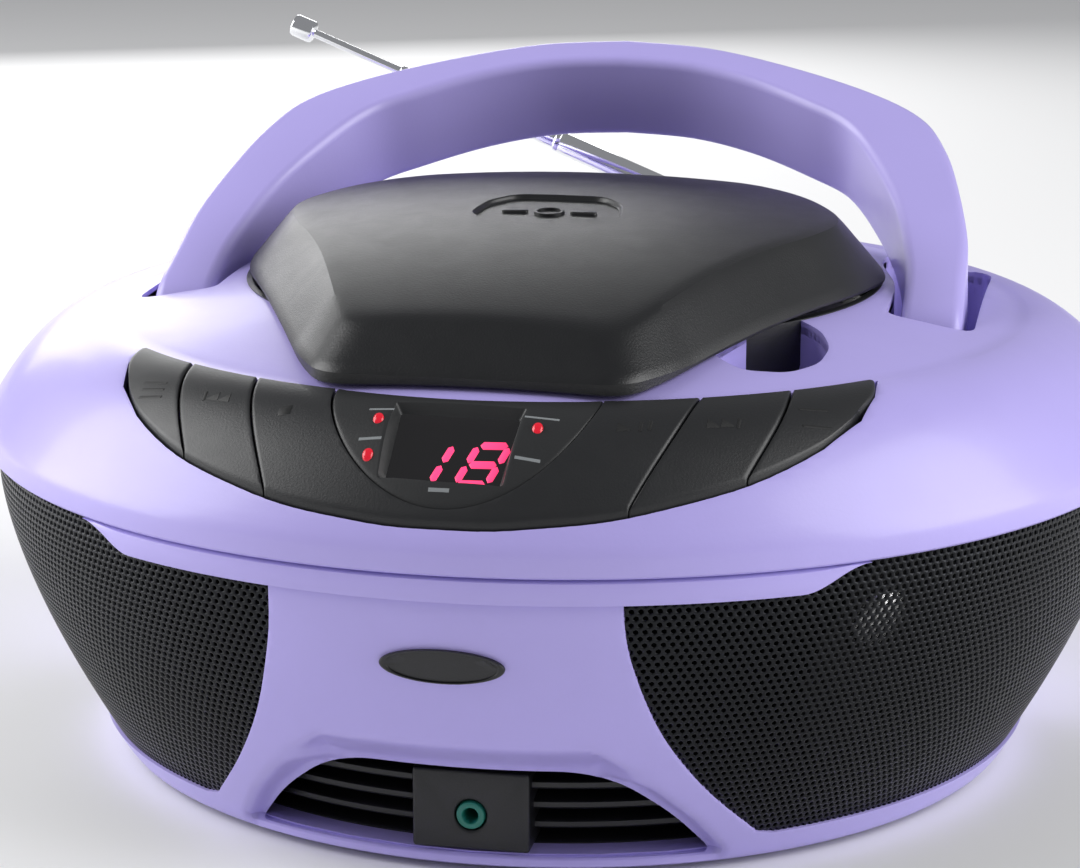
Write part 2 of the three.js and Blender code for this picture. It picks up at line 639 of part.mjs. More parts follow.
// ---- Base, battery bay and feet ----
const POSTS = [[-66, -40], [66, -40], [-66, 46], [66, 46]];
const DOOR_PIN_R = 1;

function basePlate() {
  const disc = insideBowl(-WALL - GAP, FOOT_LIFT, BASE_TOP_Z);
  const bay = block(-BAY_HALF - 1.8, BAY_HALF + 1.8, BAY_FRONT_Y - 1.8, BAY_BACK_Y + 1.8,
    FOOT_LIFT, BAY_TOP_Z + 1.8);
  const room = block(-BAY_HALF, BAY_HALF, BAY_FRONT_Y, BAY_BACK_Y, 0, BAY_TOP_Z);
  const posts = POSTS.map(([x, y]) => roundZ(4, BASE_TOP_Z - 0.5, 20, x, y, 12));
  const holes = POSTS.map(([x, y]) => roundZ(1.5 + PLAY, 0, 16, x, y, 10));
  const heads = POSTS.map(([x, y]) => roundZ(3.2, 0, FOOT_LIFT + 1.4, x, y, 14));
  const hinge = roundX(DOOR_PIN_R + PLAY, -30, 30, BAY_FRONT_Y + 3, FOOT_LIFT + 2.2, 10);
  return cut(join(disc, bay, ...posts), room, ...holes, ...heads, hinge);
}
place("base_plate", basePlate(), LAVENDER);
POSTS.forEach(([x, y], i) => {
  const screw = join(roundZ(1.5, FOOT_LIFT + 1, 14, x, y, 10),
    roundZ(2.8, FOOT_LIFT, FOOT_LIFT + 1.1, x, y, 14));
  place(`case_screw_${i + 1}`, screw, STEEL);
});

const FOOT_FRONT_Y = -0.2456 * DEPTH;
const FOOT_BACK_Y = 0.2895 * DEPTH;
const FEET = [[-56, FOOT_FRONT_Y], [56, FOOT_FRONT_Y], [-52, FOOT_BACK_Y], [52, FOOT_BACK_Y]];
FEET.forEach(([x, y], i) => {
  place(`foot_${i + 1}`, roundZ(6, 0, FOOT_LIFT - 0.05, x, y, 20), RUBBER);
});

function batteryDoor() {
  const lid = block(-BAY_HALF + GAP, BAY_HALF - GAP, BAY_FRONT_Y + 1.6, BAY_BACK_Y - GAP,
    FOOT_LIFT, FOOT_LIFT + 2);
  const knuckle = roundX(2.2, -20, 20, BAY_FRONT_Y + 3, FOOT_LIFT + 2.2, 14);
  const cell = CELL_DIAMETER;
  const ribs = [1, 2].map((n) =>
    block(-BAY_HALF + 4, BAY_HALF - 4, BAY_FRONT_Y + n * cell, BAY_FRONT_Y + n * cell + 1.2,
      FOOT_LIFT + 1, FOOT_LIFT + 4));
  return join(lid, knuckle, ...ribs);
}
place("battery_door", batteryDoor(), LAVENDER);

function contactStrip(side) {
  const x = side * (BAY_HALF - 0.6);
  const plate = block(x - 0.3, x + 0.3, BAY_FRONT_Y + 4, BAY_BACK_Y - 4, 8, 26);
  const springs = [0, 1, 2].map((n) => {
    const y = BAY_FRONT_Y + CELL_DIAMETER * (n + 0.5);
    const g = new THREE.CylinderGeometry(2, 5, 2.4, 14).rotateZ(side * Math.PI / 2);
    return solid(g.translate(x - side * 1.4, y, 17));
  });
  return join(plate, ...springs);
}
place("battery_contacts_left", contactStrip(-1), STEEL);
place("battery_contacts_right", contactStrip(1), STEEL);

// ---- Vent panel and phone jack ----
const VENT_FACE_Y = 36 - DEPTH / 2;
const JACK_PLATE_HALF = 10.5;
const JACK_R = 3.2;

function ventPanel() {
  const plate = prismY(ventOutline(-3), VENT_FACE_Y, VENT_FACE_Y + 2);
  const boss = block(-JACK_PLATE_HALF, JACK_PLATE_HALF, VENT_FACE_Y - 4, VENT_FACE_Y + 0.5,
    VENT_LOW_Z + 1.5, VENT_TOP_Z - 2.2);
  const slots = [-1, 1].flatMap((s) => [0, 1, 2].map((n) => {
    const z = VENT_LOW_Z + 3 + n * 4.6;
    const x = s * (22 - n * 2);
    return block(x - 9 + n * 1.2, x + 9 - n * 1.2, VENT_FACE_Y - 1, VENT_FACE_Y + 3, z, z + 2.4);
  }));
  const bore = roundY(JACK_R + PLAY, VENT_FACE_Y - 10, VENT_FACE_Y + 10, 0, JACK_Z, 16);
  const limit = insideBowl(-WALL - GAP, BASE_TOP_Z + GAP, 60);
  return cut(join(plate, boss), ...slots, bore).intersect(limit);
}
place("vent_panel", ventPanel(), BLACK);

function phoneJack() {
  const body = join(roundY(JACK_R, VENT_FACE_Y - 4.6, VENT_FACE_Y + 4, 0, JACK_Z, 16),
    block(-5, 5, VENT_FACE_Y + 2.3, VENT_FACE_Y + 14, JACK_Z - 5, JACK_Z + 5));
  return body.subtract(roundY(1.8, VENT_FACE_Y - 10, VENT_FACE_Y + 12, 0, JACK_Z, 12));
}
place("phone_jack", phoneJack(), TEAL);

const BADGE = { half: 11, high: 3.2, z: SEAM_Z - 17 };
function badge() {
  const front = -bowlRadius(BADGE.z) * ASPECT;
  const g = new THREE.CylinderGeometry(1, 1, 1.6, 28).scale(BADGE.half, 1, BADGE.high);
  const oval = solid(g.translate(0, front - 0.3, BADGE.z));
  return oval.subtract(insideBowl(GAP, 30, 60));
}
place("badge", badge(), BLACK);

// ---- Speakers ----
function speakerFrame() {
  const r = SPEAKER_R;
  return solid(turned([[0, -26], [20, -26], [20, -15], [17, -14.6], [r - 3, -4], [r, -1.6], [r, 0],
    [r - 3.6, 0], [r - 3.6, -2.6], [r - 6.5, -3.8], [15, -13.4], [12.4, -15], [12.4, -17], [0, -17]]));
}
function speakerCone() {
  const rim = SPEAKER_R - 4.6;
  return solid(turned([[0, -7.4], [7, -9.4], [7.6, -10.6], [rim - 3, -1.9], [rim, -0.7], [rim, 0],
    [rim - 3.2, -0.7], [7.4, -9.2], [5, -6.6], [0, -5.2]], 20));
}
for (const [name, side] of Object.entries(SPEAKER_SIDES)) {
  place(`speaker_${name}`, toSpeaker(speakerFrame(), side), STEEL);
  place(`speaker_cone_${name}`, toSpeaker(speakerCone(), side), PAPER);
}

// ---- Disc drive ----
const SLED_Y = -26;
const RAIL_X = 13;
function driveDeck() {
  const deck = block(-34, 34, -52, 26, DECK_Z, DECK_Z + 2);
  const motorHole = roundZ(13, 50, 90, 0, 0, 24);
  const sledRoom = block(-10, 10, -46, 5, 50, 90);
  const ends = [-50, -8].map((y) => block(RAIL_X - 3, RAIL_X + 3, y, y + 3, DECK_Z + 1, DECK_Z + 8));
  const bore = roundY(1.25 + PLAY, -60, 10, RAIL_X, DECK_Z + 5, 10);
  return cut(join(deck, ...ends), motorHole, sledRoom, bore);
}
place("drive_deck", driveDeck(), BLACK);
place("spindle_motor", roundZ(12, DECK_Z - 2, DECK_Z + 9, 0, 0, 24), STEEL);

function turntable() {
  const z = WELL_FLOOR_Z;
  return solid(turned([[0, DECK_Z + 10], [2, DECK_Z + 10], [2, z - 1.4], [TURNTABLE_R, z - 0.6],
    [TURNTABLE_R, z + 1.2], [SPINDLE_R, z + 1.2], [SPINDLE_R - 0.6, z + 5], [SPINDLE_R - 3, z + 6.6],
    [0, z + 6.6]], 24));
}
place("turntable", turntable(), BLACK);
place("sled_rail", roundY(1.25, -51, -4, RAIL_X, DECK_Z + 5, 10), STEEL);

function pickupSled() {
  const z = DECK_Z;
  const body = block(-8, RAIL_X + 2.6, SLED_Y - 7, SLED_Y + 7, z + 2.6, z + 9);
  const lens = join(block(-6, 6, SLED_Y - 6, SLED_Y + 6, z + 8, WELL_FLOOR_Z - 3),
    roundZ(3, z + 12, WELL_FLOOR_Z - 0.6, 0, SLED_Y, 16));
  const teeth = block(-9.6, -7.5, SLED_Y - 7, SLED_Y + 7, z + 3, z + 6);
  return cut(join(body, lens, teeth), roundY(1.25 + PLAY, -60, 10, RAIL_X, z + 5, 12));
}
place("pickup_sled", pickupSled(), PAPER);

const GEAR_R = 8;
place("sled_gear", join(roundZ(GEAR_R, DECK_Z + 3, DECK_Z + 6, -10 - GEAR_R, SLED_Y - 3, 24),
  roundZ(1.4, DECK_Z + 2.4, DECK_Z + 9, -10 - GEAR_R, SLED_Y - 3, 12)), WHITE);

// ---- Electronics ----
place("main_board", block(-48, 48, -36, 54, 38, 39.6), BOARD);
function transformer() {
  const core = block(-44, -8, 66, 82, 42, 68);
  return join(core, block(-40, -12, 62.6, 85.4, 46, 64));
}
place("power_transformer", transformer(), COPPER);

// ---- Aerial ----
function aerialBase() {
  const x = AERIAL_X;
  const y = AERIAL_Y;
  const foot = roundZ(3.9, GROOVE_FLOOR_Z + GAP, GROOVE_FLOOR_Z + 2.2, x, y, 20);
  const ears = [-1, 1].map((s) =>
    block(x - 2.4, x + 2.4, y + (s > 0 ? 2 : -3.2), y + (s > 0 ? 3.2 : -2),
      GROOVE_FLOOR_Z + 2, AERIAL_Z + 2.4));
  return join(foot, ...ears, roundY(0.9, y - 2.6, y + 2.6, x, AERIAL_Z, 12));
}
place("aerial_base", aerialBase(), CHROME);

// A tube along +X from the pivot, then raised to the aerial's slope.
function toAerial(shape) {
  const slope = THREE.MathUtils.radToDeg(AERIAL_RISE);
  return shape.rotate([0, 180 + slope, 0]).translate([AERIAL_X, AERIAL_Y, AERIAL_Z]);
}
function aerialTube(n) {
  const outer = AERIAL_R - n * (TUBE_WALL + RUN);
  const start = 3.4 + AERIAL_OUT.slice(0, n).reduce((a, b) => a + b, 0);
  const length = TUBE_LENGTH - n * 0.6;
  const body = roundX(outer, start + n * 0.6, start + length, 0, 0, 12);
  return { body, outer, start, end: start + length };
}
function hollow({ body, outer, end }, from) {
  return body.subtract(roundX(outer - TUBE_WALL, from, end + 5, 0, 0, 12));
}
const outerTube = aerialTube(0);
const tongue = join(roundY(1.7, -1.7, 1.7, 0, 0, 14), block(0, 4.4, -1.7, 1.7, -1.7, 1.7));
const pinHole = roundY(0.9 + PLAY, -5, 5, 0, 0, 12);
place("aerial_tube_1", toAerial(cut(join(hollow(outerTube, 4.6), tongue), pinHole)), CHROME);
for (const n of [1, 2]) {
  const tube = aerialTube(n);
  place(`aerial_tube_${n + 1}`, toAerial(hollow(tube, tube.start + n * 0.6 + 2)), CHROME);
}
const rod = aerialTube(3);
const knobOnTip = roundX(AERIAL_R, rod.end - 0.2, rod.end + 5.4, 0, 0, 16);
place("aerial_tip", toAerial(join(rod.body, knobOnTip)), CHROME);

export default player;
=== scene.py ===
"""A portable CD player with a radio: the looks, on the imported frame. Metres, +Z up, front facing -Y."""

import math

import bmesh
import bpy
import numpy as np
from mathutils import Matrix, Vector


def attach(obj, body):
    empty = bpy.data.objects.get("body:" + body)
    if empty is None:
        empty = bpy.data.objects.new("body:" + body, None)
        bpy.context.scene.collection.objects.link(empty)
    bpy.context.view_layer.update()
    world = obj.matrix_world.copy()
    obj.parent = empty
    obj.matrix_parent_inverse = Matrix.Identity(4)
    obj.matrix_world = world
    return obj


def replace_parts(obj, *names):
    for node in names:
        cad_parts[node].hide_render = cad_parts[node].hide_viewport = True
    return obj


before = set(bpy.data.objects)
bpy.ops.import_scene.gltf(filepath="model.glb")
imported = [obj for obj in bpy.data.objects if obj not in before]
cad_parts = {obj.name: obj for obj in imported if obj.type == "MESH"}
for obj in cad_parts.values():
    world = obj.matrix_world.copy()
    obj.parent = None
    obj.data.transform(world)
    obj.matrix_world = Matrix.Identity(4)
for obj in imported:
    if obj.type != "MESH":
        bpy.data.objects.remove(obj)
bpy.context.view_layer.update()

MM = 0.001
scene = bpy.context.scene

# ---- Sizes, in millimetres ----
WIDTH = 232
DEPTH = 228
R = WIDTH / 2
ASPECT = DEPTH / WIDTH
WALL = 2.4
FOOT_R = 90
FOOT_LIFT = 1.5
SKIRT_Z = 58.4
SEAM_Z = 63
RIM_Z = 67.7
BAND_RISE = 20
CREASE_R = 91
INNER_SLOPE = 0.2
BOWL_R = R - 1.6
SPLIT_Y = 18
WELL_R = 62
WELL_FLOOR_Z = 81
PIVOT = (-10.5, 83.4)
HANDLE_TILT = math.radians(65.3)
HANDLE_REACH = 95.5
HANDLE_BAND = 20
DOOR_FRONT_Y = -87
DOOR_BACK_Y = 62
DOOR_HALF = 65.5
DOOR_WALL = 2.2
DOOR_SKIN = 2.0
DOOR_BEVEL = 9.6
GRILLE_LOW_Z = 7
VENT_LOW_Z = 3.4
VENT_TOP_Z = 21.5
VENT_LOW_HALF = 42
VENT_TOP_HALF = 23
JACK_Z = 10.8
KNOB_Z = 45
KNOB_TURN = math.radians(128)
SIDE_SLOT_TURN = math.radians(148)
BADGE_Z = 46
SPEAKER_TURN = math.radians(50)
SPEAKER_DIP = math.radians(14)
SPEAKER_OUT = 99
SPEAKER_Z = 41
EAR_X = (-20, 20)


# ---- Camera, at the photograph's viewing angle ----
def make_camera():
    data = bpy.data.cameras.new("camera")
    data.lens = 100
    data.sensor_width = 36
    camera = bpy.data.objects.new("camera", data)
    right = Vector((0.980, 0.1975, 0.0)).normalized()
    back = Vector((0.1916, -0.951, 0.2423)).normalized()
    up = back.cross(right).normalized()
    right = up.cross(back)
    camera.matrix_world = Matrix(
        (
            (right.x, up.x, back.x, 112.23 * MM),
            (right.y, up.y, back.y, -582.36 * MM),
            (right.z, up.z, back.z, 207.87 * MM),
            (0, 0, 0, 1),
        )
    )
    scene.collection.objects.link(camera)
    scene.camera = camera


make_camera()


# ---- Materials ----
def material(name, color, roughness, metallic=0.0, grain=0.0, grain_scale=900.0, mottle=0.05, coat=0.0,
             specular=0.5, emission=None, strength=0.0):
    """A procedural finish: fine grain in the bump, faint mottling in the colour, smears in the gloss."""
    mat = bpy.data.materials.new(name)
    mat.use_nodes = True
    nodes = mat.node_tree.nodes
    links = mat.node_tree.links
    shader = nodes["Principled BSDF"]
    shader.inputs["Metallic"].default_value = metallic
    shader.inputs["Specular IOR Level"].default_value = specular
    shader.inputs["Coat Weight"].default_value = coat
    shader.inputs["Coat Roughness"].default_value = 0.12
    where = nodes.new("ShaderNodeTexCoord")

    def noise(scale, detail, distortion=0.0):
        texture = nodes.new("ShaderNodeTexNoise")
        texture.inputs["Scale"].default_value = scale
        texture.inputs["Detail"].default_value = detail
        texture.inputs["Distortion"].default_value = distortion
        links.new(where.outputs["Object"], texture.inputs["Vector"])
        return texture.outputs["Fac"]

    tint = nodes.new("ShaderNodeValToRGB")
    tint.color_ramp.elements[0].position = 0.3
    tint.color_ramp.elements[1].position = 0.75
    tint.color_ramp.elements[0].color = [c * (1 - mottle) for c in color] + [1]
    tint.color_ramp.elements[1].color = [min(1, c * (1 + mottle)) for c in color] + [1]
    links.new(noise(35.0, 5.0), tint.inputs["Fac"])
    links.new(tint.outputs["Color"], shader.inputs["Base Color"])

    gloss = nodes.new("ShaderNodeMapRange")
    gloss.inputs["To Min"].default_value = max(0.02, roughness - 0.05)
    gloss.inputs["To Max"].default_value = min(1.0, roughness + 0.05)
    links.new(noise(160.0, 8.0, 0.6), gloss.inputs["Value"])
    links.new(gloss.outputs["Result"], shader.inputs["Roughness"])

    if grain:
        bump = nodes.new("ShaderNodeBump")
        bump.inputs["Strength"].default_value = grain
        bump.inputs["Distance"].default_value = 0.00015
        links.new(noise(grain_scale, 3.0), bump.inputs["Height"])
        links.new(bump.outputs["Normal"], shader.inputs["Normal"])
    if emission:
        shader.inputs["Emission Color"].default_value = [*emission, 1]
        shader.inputs["Emission Strength"].default_value = strength
    return mat


def srgb(*rgb):
    """Linear colour from the usual 0 to 255 values."""
    return [((v / 255 + 0.055) / 1.055) ** 2.4 if v > 10 else v / 255 / 12.92 for v in rgb]


LAVENDER = material("lavender_plastic", srgb(176, 165, 229), 0.36, grain=0.10, grain_scale=1400, mottle=0.02,
                    coat=0.15)
BLACK = material("black_plastic", srgb(18, 19, 21), 0.38, grain=0.28, grain_scale=2200, mottle=0.08)
DOOR_BLACK = material("door_plastic", srgb(17, 18, 20), 0.36, grain=0.34, grain_scale=2600, mottle=0.06)
KEY = material("key_plastic", srgb(26, 27, 29), 0.42, grain=0.25, grain_scale=2400, mottle=0.05)
BEZEL = material("bezel_plastic", srgb(32, 33, 34), 0.44, grain=0.22, grain_scale=2400, mottle=0.05)
ENGRAVED = material("engraved_mark", srgb(10, 11, 12), 0.6, grain=0.2, mottle=0.05)
GRILLE = material("grille_metal", srgb(34, 35, 38), 0.3, metallic=0.85, grain=0.15, grain_scale=1800, mottle=0.1)
CLOTH = material("speaker_cloth", srgb(12, 12, 13), 0.95, grain=0.8, grain_scale=3000, mottle=0.2, specular=0.1)
CHROME = material("chrome_plate", (0.86, 0.87, 0.89), 0.1, metallic=1.0, grain=0.03, mottle=0.02)
STEEL = material("bright_steel", (0.55, 0.56, 0.58), 0.32, metallic=1.0, grain=0.2, grain_scale=1200)
CAP = material("dust_cap_metal", (0.78, 0.78, 0.79), 0.22, metallic=1.0, grain=0.1)
RED_LENS = material("red_lens", srgb(170, 12, 30), 0.15, emission=(1.0, 0.02, 0.05), strength=0.35)
SEGMENT = material("display_segment", srgb(255, 60, 110), 0.3, emission=(1.0, 0.045, 0.16), strength=1.1)
WINDOW = material("smoke_window", srgb(9, 7, 9), 0.12, mottle=0.1, coat=0.6)
SILVER_PRINT = material("silver_print", srgb(128, 132, 134), 0.5, grain=0.1)
TEAL = material("jack_plastic", srgb(30, 112, 98), 0.35, grain=0.15)
RUBBER = material("foot_rubber", srgb(24, 24, 25), 0.85, grain=0.6, grain_scale=1500)
BOARD = material("circuit_board", srgb(34, 92, 48), 0.5, grain=0.3, mottle=0.12, coat=0.3)
COPPER = material("copper_winding", srgb(170, 100, 50), 0.4, metallic=0.7, grain=0.5, grain_scale=700)
PAPER = material("cone_paper", srgb(26, 26, 28), 0.9, grain=0.9, grain_scale=900, mottle=0.15)
WHITE = material("white_plastic", srgb(214, 212, 204), 0.5, grain=0.2)


# ---- Mesh tools ----
def new_object(name, verts, faces, mat, body="cabinet", smooth=True):
    mesh = bpy.data.meshes.new(name)
    mesh.from_pydata([tuple(np.asarray(v, float) * MM) for v in verts], [], [tuple(map(int, f)) for f in faces])
    mesh.validate()
    obj = bpy.data.objects.new(name, mesh)
    scene.collection.objects.link(obj)
    tidy_normals(obj)
    if mat:
        mesh.materials.append(mat)
    if smooth:
        for polygon in mesh.polygons:
            polygon.use_smooth = True
    if body:
        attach(obj, body)
    return obj


def tidy_normals(obj):
    bm = bmesh.new()
    bm.from_mesh(obj.data)
    bmesh.ops.remove_doubles(bm, verts=bm.verts, dist=1e-7)
    bmesh.ops.recalc_face_normals(bm, faces=bm.faces)
    bm.to_mesh(obj.data)
    bm.free()


def settle(obj):
    """Applies the modifiers."""
    graph = bpy.context.evaluated_depsgraph_get()
    graph.update()
    mesh = bpy.data.meshes.new_from_object(obj.evaluated_get(graph))
    obj.modifiers.clear()
    old = obj.data
    obj.data = mesh
    bpy.data.meshes.remove(old)
    return obj


def boolean(obj, cutters):
    """Cuts the cutters out of the piece and deletes them."""
    for cutter in cutters:
        mod = obj.modifiers.new("cut", "BOOLEAN")
        mod.operation = "DIFFERENCE"
        mod.solver = "EXACT"
        mod.object = cutter
    settle(obj)
    for cutter in cutters:
        bpy.data.objects.remove(cutter)
    return obj


def round_edges(obj, width=0.35, segments=2, angle=32):
    mod = obj.modifiers.new("edge", "BEVEL")
    mod.width = width * MM
    mod.segments = segments
    mod.limit_method = "ANGLE"
    mod.angle_limit = math.radians(angle)
    mod.harden_normals = False
    return settle(obj)


def sharpen(obj, angle=35):
    """Smooth shading that breaks at real corners."""
    bm = bmesh.new()
    bm.from_mesh(obj.data)
    for edge in bm.edges:
        if len(edge.link_faces) == 2:
            edge.smooth = edge.calc_face_angle(0) < math.radians(angle)
    for face in bm.faces:
        face.smooth = True
    bm.to_mesh(obj.data)
    bm.free()
    return obj


def thicken(obj, depth):
    mod = obj.modifiers.new("thick", "SOLIDIFY")
    mod.thickness = depth * MM
    return settle(obj)


def close_holes(obj):
    bm = bmesh.new()
    bm.from_mesh(obj.data)
    bmesh.ops.holes_fill(bm, edges=[e for e in bm.edges if e.is_boundary])
    bmesh.ops.recalc_face_normals(bm, faces=bm.faces)
    bm.to_mesh(obj.data)
    bm.free()


def bridge(a, b, count):
    """The faces between two closed rows of vertices that start at a and at b."""
    return [(a + j, a + (j + 1) % count, b + (j + 1) % count, b + j) for j in range(count)]


def fan(start, count, middle):
    """The triangles from a closed row of vertices to one vertex."""
    return [(start + j, start + (j + 1) % count, middle) for j in range(count)]


def grid_faces(rows, columns, wrap=False):
    faces = []
    for i in range(rows - 1):
        for j in range(columns if wrap else columns - 1):
            k = (j + 1) % columns
            faces.append((i * columns + j, i * columns + k, (i + 1) * columns + k, (i + 1) * columns + j))
    return faces


def closed_rows(name, rows, tip, mat, body="cabinet", base=None):
    """Closed rows of points joined up: a fan to tip at the last row, a fan to base or a flat face at the first."""
    count = len(rows[0])
    verts = [v for row in rows for v in row] + [tip]
    faces = grid_faces(len(rows), count, wrap=True) + fan((len(rows) - 1) * count, count, len(verts) - 1)
    if base:
        verts.append(base)
        faces += fan(0, count, len(verts) - 1)
    else:
        faces.append(tuple(range(count))[::-1])
    return new_object(name, verts, faces, mat, body)


def lathe(name, profile, mat, turns=None, aspect=ASPECT, body="cabinet", count=192, move=None):
    """A closed or open profile of (radius, height) points turned round +Z; turns lists the azimuths used."""
    if turns is None:
        turns = [2 * math.pi * i / count for i in range(count)]
        wrap = True
    else:
        wrap = False
    verts = [(r * math.sin(a), -r * math.cos(a) * aspect, z) for r, z in profile for a in turns]
    if move:
        verts = [move(*v) for v in verts]
    return new_object(name, verts, grid_faces(len(profile), len(turns), wrap), mat, body)


def prism(name, outline, low, high, axis="z"):
    """A cutter: an outline raised along z, or an outline in x and z run along y."""
    n = len(outline)
    if axis == "z":
        verts = [(x, y, low) for x, y in outline] + [(x, y, high) for x, y in outline]
    else:
        verts = [(x, low, z) for x, z in outline] + [(x, high, z) for x, z in outline]
    faces = [tuple(range(n))[::-1], tuple(range(n, 2 * n))]
    faces += bridge(0, n, n)
    return new_object(name, verts, faces, None, body=None, smooth=False)


def rect(x0, x1, y0, y1):
    return [(x0, y0), (x1, y0), (x1, y1), (x0, y1)]


def rounded(outline, radius, steps=5):
    """The outline with its corners rounded; radius is one value or one per corner."""
    n = len(outline)
    radii = radius if isinstance(radius, (list, tuple)) else [radius] * n
    out = []
    for i, p in enumerate(outline):
        p, a, b = (Vector(q) for q in (p, outline[i - 1], outline[(i + 1) % n]))
        to_a, to_b = a - p, b - p
        reach = min(radii[i], to_a.length * 0.49, to_b.length * 0.49)
        start, end = p + to_a.normalized() * reach, p + to_b.normalized() * reach
        for k in range(steps + 1):
            t = k / steps
            q = start * (1 - t) ** 2 + p * 2 * t * (1 - t) + end * t * t
            out.append((q.x, q.y))
    return out


def spline(points, count):
    """Points along a smooth curve through the given ones, evenly by index."""
    p = np.array([points[0], *points, points[-1]], float)
    out = []
    for k in range(count + 1):
        s = (len(points) - 1) * k / count
        i = min(int(s), len(points) - 2)
        t = s - i
        a, b, c, d = p[i], p[i + 1], p[i + 2], p[i + 3]
        out.append(0.5 * (2 * b + (c - a) * t + (2 * a - 5 * b + 4 * c - d) * t * t
                          + (3 * b - a - 3 * c + d) * t ** 3))
    return np.array(out)


def resample(outline, count):
    """The closed outline again, as that many points evenly along it."""
    p = np.array([*outline, outline[0]])
    step = np.linalg.norm(np.diff(p, axis=0), axis=1)
    s = np.concatenate([[0], np.cumsum(step)])
    at = np.linspace(0, s[-1], count, endpoint=False)
    return np.stack([np.interp(at, s, p[:, 0]), np.interp(at, s, p[:, 1])], 1)


def smoothstep(t):
    t = min(1.0, max(0.0, t))
    return t * t * (3 - 2 * t)


# ---- The cabinet's surfaces ----
def dome(r):
    if r <= CREASE_R:
        return RIM_Z + BAND_RISE + INNER_SLOPE * (CREASE_R - r)
    t = min(1.0, (r - CREASE_R) / (R - CREASE_R))
    return RIM_Z + BAND_RISE * (1 - t ** 2.2)


def dome_at(x, y):
    return dome(math.hypot(x, y / ASPECT))


def bowl(z):
    t = min(1.0, max(0.0, z / 58))
    return FOOT_R + (BOWL_R - FOOT_R) * (1 - (1 - t) ** 1.5)


def bowl_y(x, z):
    """The front wall's y at that x and height."""
    r = bowl(z)
    return -math.sqrt(max(0.0, r * r - x * x)) * ASPECT


# ---- Top housing ----
SLOT = (66.4, 83)
SLOT_Y = (-21.5, 46)
SCOOP = [(38, -60), (44.5, -66), (52.9, -63.8), (57.6, -57), (58.6, -48), (56, -40), (48, -34)]
PANEL_FOOT = [(0, -112), (14, -110.9), (31, -106.4), (48.4, -97.2), (60.4, -86.2), (66.6, -76)]
PANEL_TOP_R = 92
GROOVE = (-56, 50, 93.4, 102.6)


def panel_top(x):
    return -ASPECT * math.sqrt(PANEL_TOP_R**2 - x * x)


FOOT_CURVE = spline([(-x, y) for x, y in PANEL_FOOT[:0:-1]] + PANEL_FOOT, 120)


def panel_foot(x):
    return float(np.interp(x, FOOT_CURVE[:, 0], FOOT_CURVE[:, 1]))


def panel_outline(grow):
    """The whole key panel in plan: along the crease, round the tips and back along the bowed foot."""
    tip = 68.4
    top = [(x, panel_top(x) + grow) for x in np.linspace(-tip, tip, 40)]
    foot = [(x * (1 + grow / 80), panel_foot(x) - grow) for x in np.linspace(66.9, -66.9, 50)]
    return top + [(tip + grow, -68.5)] + foot + [(-tip - grow, -68.5)]


def slot_outline(side):
    """The pocket that takes one end of the handle; it widens inwards behind the pin."""
    x0, x1 = SLOT
    points = [(x0, SLOT_Y[0]), (x1, SLOT_Y[0]), (x1, SLOT_Y[1]), (x0 - 5.4, SLOT_Y[1]), (x0 - 5.4, 26), (x0, 2)]
    return rounded([(side * x, y) for x, y in points], [2.5, 4, 6, 4, 8, 8])


def circle(radius, count=96, x=0, y=0):
    return [(x + radius * math.cos(2 * math.pi * i / count), y + radius * math.sin(2 * math.pi * i / count))
            for i in range(count)]


def top_housing():
    outer = [(R - 1.2, SEAM_Z), (R - 0.5, SEAM_Z), (R - 0.1, SEAM_Z + 0.4), (R, SEAM_Z + 1)]
    outer += [(R, RIM_Z - 1.2), (R - 0.15, RIM_Z - 0.2)]
    outer += [(r, dome(r)) for r in np.linspace(R - 0.7, CREASE_R + 1, 22)]
    outer += [(r, dome(r) - 0.15 * max(0, 1 - abs(r - CREASE_R) / 3)) for r in np.linspace(CREASE_R, 60, 14)]
    inner = [(60, dome(60) - WALL), (CREASE_R, dome(CREASE_R) - WALL)]
    inner += [(r - 1.6, dome(r) - WALL) for r in np.linspace(CREASE_R + 5, R - 1, 8)] + [(R - WALL, SEAM_Z)]
    profile = outer + inner
    profile.append(profile[0])
    body = lathe("top_housing_shell", profile, LAVENDER)
    cutters = [prism("cut", panel_outline(0.25), 60, 120), prism("cut", rounded(SCOOP, 3), 60, 120),
               prism("cut", circle(WELL_R + 1.7), 60, 130),
               prism("cut", rounded(rect(*GROOVE), 3), 60, 130)]
    cutters += [prism("cut", slot_outline(s), 60, 120) for s in (-1, 1)]
    cutters += [prism("cut", rounded(rect(x - 3.6, x + 3.6, 60, 69.4), 1), 60, 120) for x in EAR_X]
    boolean(body, cutters)
    round_edges(body, 0.5, 3, 38)
    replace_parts(body, "top_housing")
    return sharpen(body)


top_housing()


def pocket(name, outline, floor):
    """A pocket's wall and floor hanging under the dome's surface."""
    wall = 1.4
    outline = [tuple(p) for p in resample(outline, 180)]
    top = [dome_at(x, y) - 1.0 for x, y in outline]
    n = len(outline)
    centre = np.mean(outline, axis=0)
    grown = [tuple(centre + (np.array(p) - centre) * (1 + wall / np.linalg.norm(np.array(p) - centre)))
             for p in outline]
    verts = [(x, y, z) for (x, y), z in zip(outline, top)]
    verts += [(x, y, floor + 1.2) for x, y in outline]
    verts += [(centre[0] + (x - centre[0]) * 0.97, centre[1] + (y - centre[1]) * 0.97, floor) for x, y in outline]
    verts += [(x, y, floor - 1.2) for x, y in grown]
    verts += [(x, y, z - 0.2) for (x, y), z in zip(grown, top)]
    faces = [face for k in (0, 1, 3, 4) for face in bridge(k * n, (k + 1) % 5 * n, n)]
    faces += [tuple(range(2 * n, 3 * n)), tuple(range(3 * n, 4 * n))[::-1]]
    return sharpen(new_object(name, verts, faces, LAVENDER))


